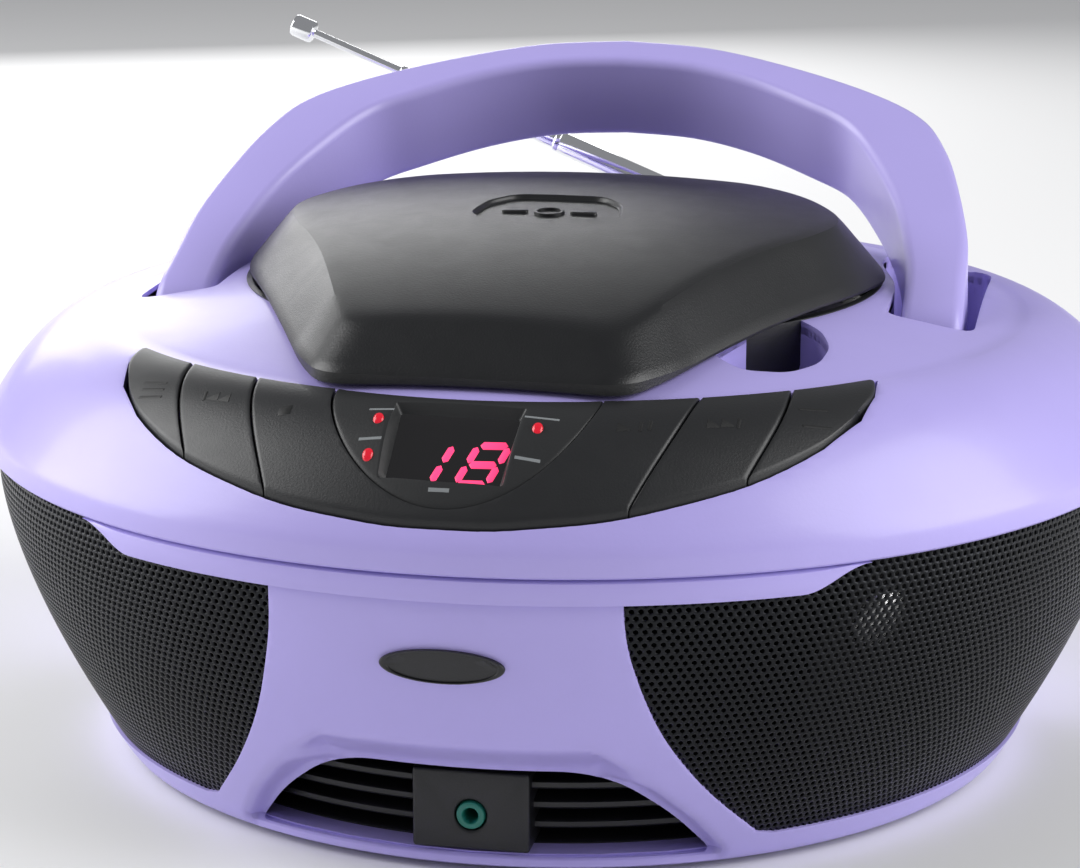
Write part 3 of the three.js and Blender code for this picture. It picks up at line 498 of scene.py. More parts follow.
for side, label in ((-1, "left"), (1, "right")):
    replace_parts(pocket(f"handle_pocket_{label}", slot_outline(side), 71.6), "top_housing")
pocket("scoop_pocket", rounded(SCOOP, 3), 83.5)
pocket("aerial_groove", rounded(rect(*GROOVE), 3), 72.7)


def disc_well():
    """The well under the door: a wall, a raised ring round the disc's edge, and a floor open for the drive."""
    r = WELL_R
    f = WELL_FLOOR_Z
    profile = [(r + 1.7, dome(r) - 0.2), (r + 0.6, dome(r)), (r, dome(r) - 0.7), (r, f + 5), (r - 2, f + 2.4),
               (r - 2.6, f + 2.2), (r - 5, f + 0.4), (r - 6, f), (34, f), (33.4, f + 0.5), (31, f + 0.5),
               (30.4, f), (17, f), (16.4, f + 0.5), (16, f + 0.4), (16, f - 2), (r + 1.7, f - 2),
               (r + 1.7, dome(r) - 0.2)]
    well = lathe("disc_well", profile, BLACK, aspect=1.0, count=128)
    boolean(well, [prism("cut", rounded(rect(-8.5, 8.5, -50, -6), 3), 60, 120)])
    return sharpen(well, 30)


disc_well()


def front_skirt():
    """The strip across the front under the rim, its ends swept up to the seam, a fine line above it."""
    reach = math.asin(71 / R)
    turns = np.linspace(-reach, reach, 140)
    profile = [(0.0, 0.1), (0.9, 0.2), (1.15, 0.8), (1.2, 1.6), (1.2, 2.6), (1.0, 3.9), (0.1, 4.4), (-0.9, 4.4),
               (-0.9, 0.1)]
    verts = []
    for out, up in profile:
        for a in turns:
            end = (reach - abs(a)) / math.radians(6.5)
            low = SEAM_Z - 0.3 - (SEAM_Z - SKIRT_Z) * smoothstep(end)
            z = low + (SEAM_Z - 0.25 - low) * up / 4.4
            r = BOWL_R + 0.15 + out
            verts.append((r * math.sin(a), -r * math.cos(a) * ASPECT, z))
    rows, columns = len(profile), len(turns)
    skirt = new_object("front_skirt", verts, grid_faces(rows, columns), LAVENDER)
    return sharpen(skirt, 40)


front_skirt()


# ---- Disc door ----
POCKET_CENTRE = (0.0, -16.0)
POCKET_DEPTH = 0.9


def roof(x, y):
    """The door's crown: an egg, long towards the front and short towards the hinge."""
    reach = 160 if y < 12 else 92
    inside = 1 - (x / 158) ** 2 - ((y - 12) / reach) ** 2
    return 110 - 62 + 62 * math.sqrt(max(0.05, inside))


def door_edge(x, y):
    return max(91.4 + 0.043 * (y + 87), dome_at(x, y) + 2.2)


DOOR_HEX = [(0, DOOR_FRONT_Y), (27.5, DOOR_FRONT_Y + 0.6), (33.5, DOOR_FRONT_Y + 10), (61.5, -16),
            (DOOR_HALF, 3), (57, 20), (39, 43), (24, DOOR_BACK_Y), (0, DOOR_BACK_Y)]


def door_outline():
    half = DOOR_HEX[1:-1]
    full = half + [(-x, y) for x, y in reversed(half)]
    return rounded(full, [5, 9, 16, 22, 18, 14, 8, 8, 14, 18, 22, 16, 9, 5], 8)


def inset_outline(outline, distance):
    """The outline moved in along its own normals."""
    p = np.array(outline)
    before, after = np.roll(p, 1, 0), np.roll(p, -1, 0)
    along = after - before
    along /= np.linalg.norm(along, axis=1)[:, None] + 1e-9
    normal = np.stack([-along[:, 1], along[:, 0]], 1)
    centre = p.mean(0)
    flip = np.sign(((centre - p) * normal).sum(1))[:, None]
    return p + normal * flip * distance


def radial_inset(outline, distance, centre):
    """The outline drawn in towards a point inside it, by the same distance all round."""
    p, c = np.array(outline), np.array(centre)
    reach = np.linalg.norm(p - c, axis=1)[:, None]
    return c + (p - c) * (1 - distance / reach)


def match_outline(outline, guide, centre):
    """For each point of the guide, the outline's point in the same direction from the centre."""
    c = np.array(centre)
    p = resample(outline, 1440) - c
    angle = np.arctan2(p[:, 1], p[:, 0])
    order = np.argsort(angle)
    want = np.arctan2(guide[:, 1] - c[1], guide[:, 0] - c[0])
    reach = np.interp(want, angle[order], np.linalg.norm(p, axis=1)[order], period=2 * math.pi)
    return c + np.stack([np.cos(want), np.sin(want)], 1) * reach[:, None]


def pocket_outline():
    return rounded([(-9.5, -27.4), (9.5, -27.4), (15, -20), (13.5, -10), (9, -4.2), (-9, -4.2), (-13.5, -10),
                    (-15, -20)], 2.5)


def disc_door():
    outline = resample(door_outline(), 240)
    count = len(outline)
    rings = []

    def ring(points, height):
        rings.append([(x, y, height(x, y)) for x, y in points])

    edge = radial_inset(outline, 0.5, POCKET_CENTRE)
    inner = radial_inset(outline, DOOR_BEVEL, POCKET_CENTRE)
    inside = radial_inset(outline, DOOR_WALL, POCKET_CENTRE)
    ring(inside, lambda x, y: dome_at(x, y) + 0.7)
    ring(edge, lambda x, y: dome_at(x, y) + 0.7)
    ring(outline, lambda x, y: dome_at(x, y) + 1.1)
    ring(outline, lambda x, y: door_edge(x, y) - 0.7)
    ring(edge, lambda x, y: door_edge(x, y) + 0.1)
    for k in range(1, 9):
        t = k / 9
        row = []
        for (xo, yo), (xi, yi) in zip(edge, inner):
            low, high = door_edge(xo, yo) + 0.1, roof(xi, yi)
            soft = max(0, t - 0.8) / 0.2
            row.append((xo + (xi - xo) * t, yo + (yi - yo) * t, low + (high - low) * t - 0.35 * soft * soft))
        rings.append(row)
    brim = match_outline(pocket_outline(), inner, POCKET_CENTRE)
    for k in range(26):
        t = k / 26
        ring(inner * (1 - t) + brim * t, lambda x, y, t=t: roof(x, y) - 0.25 * smoothstep((0.06 - t) / 0.06))
    for step, drop in ((0, 0), (0.12, 0.06), (0.3, 0.25), (0.45, 0.65), (0.7, POCKET_DEPTH)):
        ring(radial_inset(brim, step, POCKET_CENTRE), lambda x, y, drop=drop: roof(x, y) - drop)
    floor_edge = radial_inset(brim, 0.7, POCKET_CENTRE)
    for k in range(1, 8):
        ring(np.array(POCKET_CENTRE) + (floor_edge - POCKET_CENTRE) * (1 - k / 8),
             lambda x, y: roof(x, y) - POCKET_DEPTH)
    verts = [p for row in rings for p in row]
    faces = grid_faces(len(rings), count, wrap=True)
    top = (len(rings) - 1) * count
    verts.append((*POCKET_CENTRE, roof(*POCKET_CENTRE) - POCKET_DEPTH))
    faces += fan(top, count, len(verts) - 1)
    start = len(verts)
    for scale in (0.05, 0.5, 1.0):
        row = np.array(POCKET_CENTRE) + (inner - POCKET_CENTRE) * scale
        verts += [(x, y, roof(x, y) - DOOR_SKIN) for x, y in row]
    verts.append((*POCKET_CENTRE, roof(*POCKET_CENTRE) - DOOR_SKIN))
    faces += fan(start, count, len(verts) - 1)
    for k in range(2):
        faces += bridge(start + k * count, start + (k + 1) * count, count)
    faces += bridge(start + 2 * count, 0, count)
    door = new_object("disc_door_shell", verts, faces, DOOR_BLACK, "door")
    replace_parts(door, "disc_door")
    sharpen(door, 24)
    for x in EAR_X:
        ear = prism("door_ear", rounded(rect(x - 2.8, x + 2.8, 58, 67.6), 0.8, 3), 92.4, 95)
        ear.data.materials.append(DOOR_BLACK)
        ear.name = f"door_ear_{'left' if x < 0 else 'right'}"
        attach(ear, "door")
        round_edges(ear, 0.5, 3, 50)
        sharpen(ear, 40)


disc_door()


def raised(name, outline, surface, height, mat, body, sink=0.3):
    """A thin plate whose outline follows a surface, with a softened top edge."""
    n = len(outline)
    p = np.array(outline)
    inner = inset_outline(p, min(0.12, 0.3 * height + 0.02))
    rows = [[(x, y, surface(x, y) - sink) for x, y in p], [(x, y, surface(x, y) + height * 0.7) for x, y in p],
            [(x, y, surface(x, y) + height) for x, y in inner]]
    verts = [q for row in rows for q in row]
    faces = grid_faces(3, n, wrap=True) + [tuple(range(n))[::-1], tuple(range(2 * n, 3 * n))]
    return sharpen(new_object(name, verts, faces, mat, body), 50)


def ring_mark(name, centre, outer, inner, surface, height, mat, body):
    """A thin ring that follows a surface, its edges softened."""
    count = 40
    rows = []
    for r, up in ((outer, -0.3), (outer, height * 0.8), (outer - 0.08, height), (inner + 0.08, height),
                  (inner, height * 0.8), (inner, -0.3)):
        rows.append([(x, y, surface(x, y) + up) for x, y in circle(r, count, *centre)])
    verts = [q for row in rows for q in row]
    faces = grid_faces(len(rows), count, wrap=True)
    faces += bridge((len(rows) - 1) * count, 0, count)
    return sharpen(new_object(name, verts, faces, mat, body), 50)


def door_mark():
    """A generic raised mark in the door's pocket: a plain disc outline between two bars."""
    def floor(x, y):
        return roof(x, y) - 0.75

    for i, (x0, x1) in enumerate(((-9.4, -4.2), (4.2, 9.4))):
        raised(f"door_mark_{i + 1}", rounded(rect(x0, x1, -17, -15.4), 0.7, 3), floor, 0.3, DOOR_BLACK, "door")
    ring_mark("door_mark_ring", (0, -16.2), 3.0, 2.3, floor, 0.3, DOOR_BLACK, "door")


door_mark()


# ---- Handle ----
def handle():
    k = HANDLE_REACH
    outer = spline([(80.5, 0), (80.2, 0.1 * k), (79.6, 0.26 * k), (76.4, 0.45 * k), (73, 0.585 * k),
                    (67.6, 0.7 * k), (56, 0.8 * k), (38, 0.9 * k), (19, 0.975 * k), (0, k)], 54)
    inner = spline([(68.7, 0), (68.6, 0.1 * k), (67.6, 0.19 * k), (64.4, 0.36 * k), (58.8, 0.52 * k),
                    (51.4, 0.665 * k), (42, 71.2), (29, 79.4), (15, 84.7), (0, k - 9.2)], 54)
    half = HANDLE_BAND / 2
    rows = []

    def section(o, i, depth):
        o, i = np.array(o), np.array(i)
        across = o - i
        thick = np.linalg.norm(across)
        across = across / thick
        corner = min(2.2, thick * 0.3, depth * 0.6)
        row = []
        for cx, cz, start in ((thick - corner, depth - corner, 0), (corner, depth - corner, 90),
                              (corner, corner - depth, 180), (thick - corner, corner - depth, 270)):
            for s in range(6):
                a = math.radians(start + 90 * s / 5)
                u, v = cx + corner * math.cos(a), cz + corner * math.sin(a)
                q = i + across * u
                row.append((q[0], q[1], v))
        return row

    for step in range(8, 0, -1):
        d = half * math.sin(math.radians(90 * step / 8.05))
        depth = max(0.8, math.sqrt(half**2 - d * d))
        rows.append(section((80.5, -d), (68.7, -d), depth))
    for o, i in zip(outer, inner):
        rows.append(section(o, i, half))
    rows += [[(-x, y, z) for x, y, z in row] for row in reversed(rows[:-1])]
    count = len(rows[0])
    verts = []
    c, s = math.cos(math.pi / 2 - HANDLE_TILT), math.sin(math.pi / 2 - HANDLE_TILT)
    for row in rows:
        for x, y, z in row:
            verts.append((x, PIVOT[0] + y * c - z * s, PIVOT[1] + y * s + z * c))
    faces = grid_faces(len(rows), count, wrap=True)
    faces += [tuple(range(count))[::-1], tuple(range((len(rows) - 1) * count, len(rows) * count))]
    made = new_object("handle_grip", verts, faces, LAVENDER, "carry_handle")
    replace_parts(made, "handle")
    return sharpen(made, 50)


handle()


# ---- Keys, display bezel and display ----
PROUD = 0.7
TIP = (68.2, 66.9)
LINES = [(-54.6, -49.2), (-39.8, -32.0), (39.8, 31.2), (54.6, 49.8)]
LINE_BOW = 1.9


def band(x, y):
    return dome_at(x, y) + PROUD


def key_patch(name, left, right, body, tip_left=False, tip_right=False):
    """A key's cap: a patch of the dome between two dividing lines, its edges rolled over and walled down."""
    gap = 0.16
    rolls = [(0.0, 3.0), (0.0, 0.55), (0.1, 0.24), (0.28, 0.06), (0.6, 0.0)]

    def at(u, v):
        bow_l = LINE_BOW * math.sin(math.pi * v) * (0.6 if tip_left else 1.0)
        bow_r = LINE_BOW * math.sin(math.pi * v) * (0.6 if tip_right else 1.0)
        xt = left[0] + (right[0] - left[0]) * u
        xf = left[1] + (right[1] - left[1]) * u
        yt, yf = panel_top(max(-90, min(90, xt))) - 0.25, panel_foot(xf) + 0.25
        near_tip = u - 0.9 if tip_right else 0.1 - u if tip_left else 0
        k = smoothstep(near_tip / 0.1)
        yt, yf = yt - 1.6 * k, yf + 1.6 * k
        bow = (bow_l * (1 - u) * (-1 if left[0] < 0 else 1) + bow_r * u * (-1 if right[0] < 0 else 1))
        x = xt + (xf - xt) * v + bow * 0.9 * (1 if abs(xt) > 20 else abs(xt) / 20)
        return x, yt + (yf - yt) * v

    def steps(length, middle):
        """The places across the key, and how far each is let down by the rolled edge."""
        edge = [r[0] / length for r in rolls]
        places = [gap / length + e for e in edge] + list(middle[1:-1]) + [1 - gap / length - e for e in edge[::-1]]
        return places, [r[1] for r in rolls] + [0] * (len(middle) - 2) + [r[1] for r in rolls[::-1]]

    u_all, drop_u = steps(abs(right[0] - left[0]), np.linspace(0, 1, max(10, int(abs(right[0] - left[0])))))
    v_all, drop_v = steps(abs(panel_foot(left[1]) - panel_top(left[0])) + 4, np.linspace(0, 1, 26))
    verts = []
    for v, dv in zip(v_all, drop_v):
        for u, du in zip(u_all, drop_u):
            x, y = at(u, v)
            verts.append((x, y, band(x, y) - max(du, dv)))
    rows, columns = len(v_all), len(u_all)
    faces = grid_faces(rows, columns)
    rim = [(0, j) for j in range(columns)] + [(i, columns - 1) for i in range(1, rows)]
    rim += [(rows - 1, j) for j in range(columns - 2, -1, -1)] + [(i, 0) for i in range(rows - 2, 0, -1)]
    faces.append(tuple(i * columns + j for i, j in rim)[::-1])
    return new_object(name, verts, faces, KEY, body)


BEZEL_HALF = 23.7
BEZEL_FOOT_Y = -110.4


def bezel_outline(grow):
    """The half-moon plate's outline, from the left end round the foot to the right, and back along the crease."""
    count = 60
    half = BEZEL_HALF + grow
    foot = BEZEL_FOOT_Y - grow
    top = panel_top(half)
    arc = []
    for i in range(count + 1):
        a = math.pi * i / count
        arc.append((-half * math.cos(a), top - (top - foot) * math.sin(a) ** 0.92))
    lid = [(x, panel_top(x) - 0.25 + grow) for x in np.linspace(half * 0.94, -half * 0.94, 24)]
    return arc + lid


def keys():
    ends = [(-TIP[0], -TIP[1]), *LINES, TIP]
    for i, body in enumerate(("prog", "previous", "stop_play", "next", "repeat")):
        cap = key_patch(f"key_{body}_cap", ends[i], ends[i + 1], body, i == 0, i == 4)
        if body == "stop_play":
            boolean(cap, [prism("cut", bezel_outline(0.3), 40, 120)])
            round_edges(cap, 0.3, 2, 50)
        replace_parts(cap, f"key_{body}")
        sharpen(cap, 40)


keys()


def glass_plate(name, outline, surface, centre):
    """A skin over a surface inside an outline seen from above, its rim rolled over and walled down."""
    rings, roll, wall = 3, 0.05, 1.2
    p = np.array(outline)
    rows = [[(x, y, surface(x, y) - wall) for x, y in p], [(x, y, surface(x, y) - roll) for x, y in p]]
    for inset, drop in ((0.12, 0.35), (0.35, 0.08), (0.7, 0)):
        rows.append([(x, y, surface(x, y) - drop * roll)
                     for x, y in radial_inset(p, inset * roll / 0.5, centre)])
    base = radial_inset(p, 0.7 * roll / 0.5, centre)
    c = np.array(centre)
    for k in range(1, rings):
        q = c + (base - c) * (1 - k / rings)
        rows.append([(x, y, surface(x, y)) for x, y in q])
    return closed_rows(name, rows, (c[0], c[1], surface(*c)), WINDOW,
                       base=(c[0], c[1], surface(*c) - wall))


DISPLAY = [(-10.9, -93.6), (10.8, -93.8), (9.5, -107.0), (-10.9, -106.6)]


def display_plane(x, y):
    """The display's own face: a flat window leaning with the dome."""
    return 86.1 + (y + 93.8) * 0.7326 - 0.3


def bezel():
    """A half-moon plate with a framed window sunk in it; its walls run down to the display."""
    centre = (-0.5, -100.2)
    outer = resample(bezel_outline(0), 360)
    frame_top = match_outline(rounded(DISPLAY, 0.5, 3), outer, centre)
    low = radial_inset(frame_top, 0.35, centre)
    rows = []

    def row(points, height):
        rows.append([(x, y, height(x, y)) for x, y in points])

    def skin(drop):
        return lambda x, y: dome_at(x, y) + 0.5 - drop

    row(outer, skin(3.5))
    for inset, drop in ((0, 0.5), (0.12, 0.2), (0.35, 0.05), (0.7, 0)):
        row(radial_inset(outer, inset, centre), skin(drop))
    wide = radial_inset(frame_top, -1.1, centre)
    start = radial_inset(outer, 0.7, centre)
    for k in range(1, 16):
        row(start * (1 - k / 15) + wide * (k / 15), skin(0))
    row(radial_inset(frame_top, -0.8, centre), skin(0.1))
    row(low, display_plane)
    row(low, lambda x, y: display_plane(x, y) - 1.6)
    verts = [p for line in rows for p in line]
    count = len(outer)
    faces = grid_faces(len(rows), count, wrap=True)
    last = (len(rows) - 1) * count
    faces += bridge(last, 0, count)
    plate = new_object("display_bezel_shell", verts, faces, BEZEL, "cabinet")
    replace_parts(plate, "display_bezel")
    return sharpen(plate, 30)


bezel()


def glass_and_digits():
    window = glass_plate("display_glass", rounded(DISPLAY, 0.4, 3), display_plane, (-0.4, -100.3))
    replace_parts(window, "display_window", "display_module")
    sharpen(window, 30)
    one = Vector((-0.1, -99.0)), Vector((-2.7, -105.9))
    tall = (one[1] - one[0]) / 2
    across = Vector((5.4, 0.15))
    thick = 1.25

    def segment(name, a, b):
        along = (b - a).normalized()
        side = Vector((-along.y, along.x)) * thick / 2
        a, b = a + along * 0.32, b - along * 0.32
        tip = along * thick * 0.42
        outline = [a, a + tip - side, b - tip - side, b, b - tip + side, a + tip + side]
        raised(name, [(q.x, q.y) for q in outline], display_plane, 0.12, SEGMENT, "cabinet", sink=0.05)

    segment("digit_one_upper", one[0], one[0] + tall)
    segment("digit_one_lower", one[0] + tall, one[1])
    corner = Vector((4.2, -98.9))
    for name, a, b in (("top", (0, 0), (1, 0)), ("middle", (0, 1), (1, 1)), ("bottom", (0, 2), (1, 2)),
                       ("upper_left", (0, 0), (0, 1)), ("upper_right", (1, 0), (1, 1)),
                       ("lower_left", (0, 1), (0, 2)), ("lower_right", (1, 1), (1, 2))):
        segment("digit_eight_" + name, corner + across * a[0] + tall * a[1], corner + across * b[0] + tall * b[1])


glass_and_digits()


LED_PLACES = {"led_power": (-13.6, -98.0), "led_radio": (-14.0, -104.0), "led_play": (14.3, -98.4)}


def lamps():
    """Three domed red lenses beside the display."""
    for name, (x, y) in LED_PLACES.items():
        rows = [[(px, py, dome_at(x, y) + up + (py - y) * 0.7) for px, py in circle(r, 20, x, y)]
                for r, up in ((0.95, -3), (0.95, 0.55), (0.85, 0.8), (0.6, 1.0), (0.3, 1.1))]
        lamp = closed_rows(name + "_lens", rows, (x, y, dome_at(x, y) + 1.15), RED_LENS)
        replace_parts(lamp, name)


lamps()


def marks():
    """Moulded symbols on the keys: plain bars and triangles, no lettering."""
    size = 2.1

    def place_mark(name, shape, x, y, body, turn):
        c, s = math.cos(turn), math.sin(turn)
        outline = [(x + size * (px * c - py * s), y + size * 0.8 * (px * s + py * c)) for px, py in shape]
        raised(name, outline, band, 0.1, ENGRAVED, body, sink=0.05)

    right = [(-0.5, -0.6), (0.6, 0.0), (-0.5, 0.6)]
    left = [(-x, y) for x, y in right][::-1]
    bar = rect(-0.14, 0.14, -0.6, 0.6)
    square = rect(-0.55, 0.55, -0.55, 0.55)
    line = rect(-1.3, 1.3, -0.13, 0.13)
    for name, shape, x, y, body, turn in (
        ("stop", square, -31.2, -94.6, "stop_play", 0.0), ("play", right, 28.6, -95.6, "stop_play", 0.0),
        ("pause_1", bar, 31.4, -94.4, "stop_play", 0.0), ("pause_2", bar, 32.9, -93.8, "stop_play", 0.0),
        ("back_bar", bar, -48.0, -87.4, "previous", 0.0), ("back_1", left, -46.2, -88.3, "previous", 0.0),
        ("back_2", left, -43.9, -89.3, "previous", 0.0), ("next_1", right, 43.2, -90.2, "next", 0.0),
        ("next_2", right, 45.5, -89.1, "next", 0.0), ("next_bar", bar, 47.3, -88.2, "next", 0.0),
        ("list_1", line, -59.6, -79.8, "prog", -0.5), ("list_2", line, -59.6, -79.8 - 1.7, "prog", -0.5),
        ("list_3", line, -59.6, -79.8 - 2 * 1.7, "prog", -0.5),
        ("loop_1", line, 59.0, -79.2, "repeat", 0.5), ("loop_2", line, 60.2, -82.6, "repeat", 0.5),
    ):
        place_mark("mark_" + name, shape, x, y, body, turn)
    for name, x, y, w in (("a", -13.6, -95.6, 2.2), ("b", -14.2, -101.6, 2.0), ("c", 14.6, -95.9, 3.0),
                          ("d", 13.6, -103.6, 2.2), ("e", -0.6, -108.6, 1.8)):
        raised(f"bezel_line_{name}", rect(x - w, x + w, y - 0.22, y + 0.22),
               lambda px, py: dome_at(px, py) + 0.5, 0.03, SILVER_PRINT, "cabinet", sink=0.02)


marks()


# ---- Lower cabinet ----
GRILLE_EDGE = [(31, 70), (31, 54), (32.6, 44), (36.3, 31.8), (42.5, 19.5), (51, GRILLE_LOW_Z)]


GRILLE_CURVE = spline(GRILLE_EDGE[::-1], 40)


def grille_edge(z):
    """The x at which a grille begins, at that height."""
    return float(np.interp(z, GRILLE_CURVE[:, 1], GRILLE_CURVE[:, 0]))


def arch_depth(x, z):
    """How far the front wall is drawn in round the vent: 0 outside the arch, 1 at the vent's edge."""
    wide_out = np.interp(z, [0, 12, 24, 30.5], [47.5, 41.5, 33, 22])
    wide_in = np.interp(z, [VENT_LOW_Z, 12, 19, VENT_TOP_Z], [42.6, 36.5, 28.5, 21])
    side = (wide_out - abs(x)) / max(3.5, wide_out - wide_in)
    top = (30.5 - z) / (30.5 - VENT_TOP_Z)
    foot = smoothstep((z - 2.2) / 2.4)
    return smoothstep(min(side, top, 1.0)) * foot


def draw_in(x, y, z):
    if y > -40:
        return (x, y, z)
    return (x, y + 7.5 * arch_depth(x, z) * (0.35 + 0.65 * min(1, z / 20)), z)


def vent_outline():
    low, high = VENT_LOW_HALF, VENT_TOP_HALF
    points = [(-low, VENT_LOW_Z), (low, VENT_LOW_Z), (low - 6, 12), (high + 4.5, VENT_TOP_Z - 2.5),
              (high - 3, VENT_TOP_Z), (3 - high, VENT_TOP_Z), (-high - 4.5, VENT_TOP_Z - 2.5), (6 - low, 12)]
    return rounded(points, [1.5, 1.5, 8, 5, 5, 5, 5, 8])


def grille_opening(side):
    edge = [(grille_edge(z), z) for z in np.linspace(SEAM_Z + 3, GRILLE_LOW_Z + 3, 22)]
    low = GRILLE_LOW_Z
    points = edge + [(grille_edge(low + 1), low + 0.8), (grille_edge(low) + 2.2, low)]
    points += [(R + 8, low), (R + 8, SEAM_Z + 3)]
    return [(side * x, z) for x, z in points]


def cabinet_profile():
    heights = [FOOT_LIFT, FOOT_LIFT + 0.5, *np.linspace(FOOT_LIFT + 1.6, 34, 30), *np.linspace(36, 62.7, 14)]
    outer = [(bowl(z) - (0.6 if i == 0 else 0.15 if i == 1 else 0), z) for i, z in enumerate(heights)]
    inner = [(bowl(z) - WALL, z) for z in np.linspace(62.7, FOOT_LIFT, 14)]
    profile = outer + inner
    return profile + [profile[0]]


def cabinet_half(label, turns, cutters, move=None):
    """One half of the cabinet's wall: turned, closed to a solid, cut, and its edges broken."""
    shell = lathe(f"{label}_cabinet_shell", cabinet_profile(), LAVENDER, turns=turns,
                  move=move)
    close_holes(shell)
    boolean(shell, cutters)
    round_edges(shell, 0.35, 2, 42)
    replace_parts(shell, f"{label}_cabinet")
    return sharpen(shell, 34)


def front_cabinet():
    fine = list(np.radians(np.arange(-38, 38.01, 0.6)))
    edge = math.acos(-SPLIT_Y / R)
    left = list(np.linspace(-edge, -math.radians(38.6), 42))
    turns = left + fine + [-a for a in left[::-1]]
    cutters = [prism("cut", grille_opening(s), -R - 5, SPLIT_Y - 4, axis="y") for s in (-1, 1)]
    cutters.append(prism("cut", vent_outline(), -R - 5, -50, axis="y"))
    cabinet_half("front", turns, cutters, draw_in)


front_cabinet()


def wall_matrix(side, azimuth, out=0.0):
    """The place of something on the rear wall at the knobs' height, its own z pointing out of the wall."""
    r = bowl(KNOB_Z) * 0.985 + out
    return (Matrix.Translation((side * r * math.sin(azimuth) * MM, -r * math.cos(azimuth) * MM, KNOB_Z * MM))
            @ Matrix.Rotation(side * azimuth, 4, "Z") @ Matrix.Rotation(math.pi / 2, 4, "X"))


def rear_cabinet():
    """The rear half, with the power inlet's hole, nine vent slots and a slot for each slide switch."""
    edge = math.acos(-(SPLIT_Y + 0.4) / R)
    cutters = [prism("cut", rounded(rect(-55.8, -40.2, 11.5, 20.5), 2.5), 50, 130, axis="y")]
    for n in range(9):
        x = -6 + n * 6.5
        cutters.append(prism("cut", rounded(rect(x, x + 2.2, 26, 46), 1.0, 4), 60, 130, axis="y"))
    for side in (-1, 1):
        cutter = prism("cut", rounded(rect(-8, 8, -2.4, 2.4), 0.8, 3), -9, 9)
        cutter.matrix_world = wall_matrix(side, SIDE_SLOT_TURN)
        cutters.append(cutter)
    cabinet_half("rear", list(np.linspace(edge, 2 * math.pi - edge, 150)), cutters)


rear_cabinet()


# ---- Grilles: perforated sheet ----
PITCH = 1.55
HOLE = 0.52
UNROLL_R = 108.0


def grille(side, label):
    """A curved sheet of hexagonal cells, each with a round hole; it runs on under the cabinet's lip."""
    verts = []
    faces = []
    row_step = PITCH * math.sqrt(3) / 2
    slant = 1.06
    sink = 0.75

    def put(s, h, depth):
        z = GRILLE_LOW_Z - 1 + h
        r = bowl(z) - sink - depth
        a = s / UNROLL_R
        return (side * r * math.sin(a), -r * math.cos(a) * ASPECT, z)

    rows = int((SEAM_Z + 0.5 - GRILLE_LOW_Z + 1) / (row_step / slant))
    for row in range(rows):
        h = row * row_step / slant
        z = GRILLE_LOW_Z - 1 + h
        if z < 1:
            continue
        start = grille_edge(max(GRILLE_LOW_Z, z)) - 1.6
        s = math.asin(min(0.99, start / bowl(z))) * UNROLL_R + (PITCH / 2 if row % 2 else 0)
        s = math.floor(s / PITCH) * PITCH + (PITCH / 2 if row % 2 else 0)
        end = math.acos(max(-1, -(SPLIT_Y - 3.4) / (bowl(z) * ASPECT))) * UNROLL_R
        while s < end:
            base = len(verts)
            for reach, depth in ((PITCH / math.sqrt(3), 0), (HOLE, 0.06), (HOLE, 0.55)):
                for k in range(6):
                    a = math.radians(60 * k + 30)
                    verts.append(put(s + reach * math.cos(a), h + reach * math.sin(a) / slant, depth))
            faces += bridge(base, base + 6, 6) + bridge(base + 6, base + 12, 6)
            s += PITCH
    sheet = new_object(f"grille_sheet_{label}", verts, faces, GRILLE)
    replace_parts(sheet, f"grille_{label}")
    return sheet


grille(-1, "left")
grille(1, "right")


def speaker_matrix(side):
    place = Vector((side * SPEAKER_OUT * math.sin(SPEAKER_TURN) * MM, -SPEAKER_OUT * math.cos(SPEAKER_TURN) * MM,
                    SPEAKER_Z * MM))
    return (Matrix.Translation(place) @ Matrix.Rotation(side * SPEAKER_TURN, 4, "Z")
            @ Matrix.Rotation(math.pi / 2 + SPEAKER_DIP, 4, "X"))


def grille_backing(side, label):
    """The dark cloth behind a grille, open over the speaker."""
    verts = []
    columns = 60
    heights = np.linspace(4.5, 62, 24)
    for z in heights:
        a0 = math.asin(min(0.99, (grille_edge(max(GRILLE_LOW_Z, z)) - 3) / bowl(z)))
        a1 = math.acos(-(SPLIT_Y - 4) / R)
        for a in np.linspace(a0, a1, columns):
            r = bowl(z) - 3.4
            verts.append((side * r * math.sin(a), -r * math.cos(a) * ASPECT, z))
    cloth = new_object(f"grille_cloth_{label}", verts, grid_faces(len(heights), columns), CLOTH)
    thicken(cloth, 0.8)
    cutter = prism("cut", circle(28.5, 48), -12, 30)
    cutter.matrix_world = speaker_matrix(side)
    return sharpen(boolean(cloth, [cutter]), 40)


grille_backing(-1, "left")
grille_backing(1, "right")


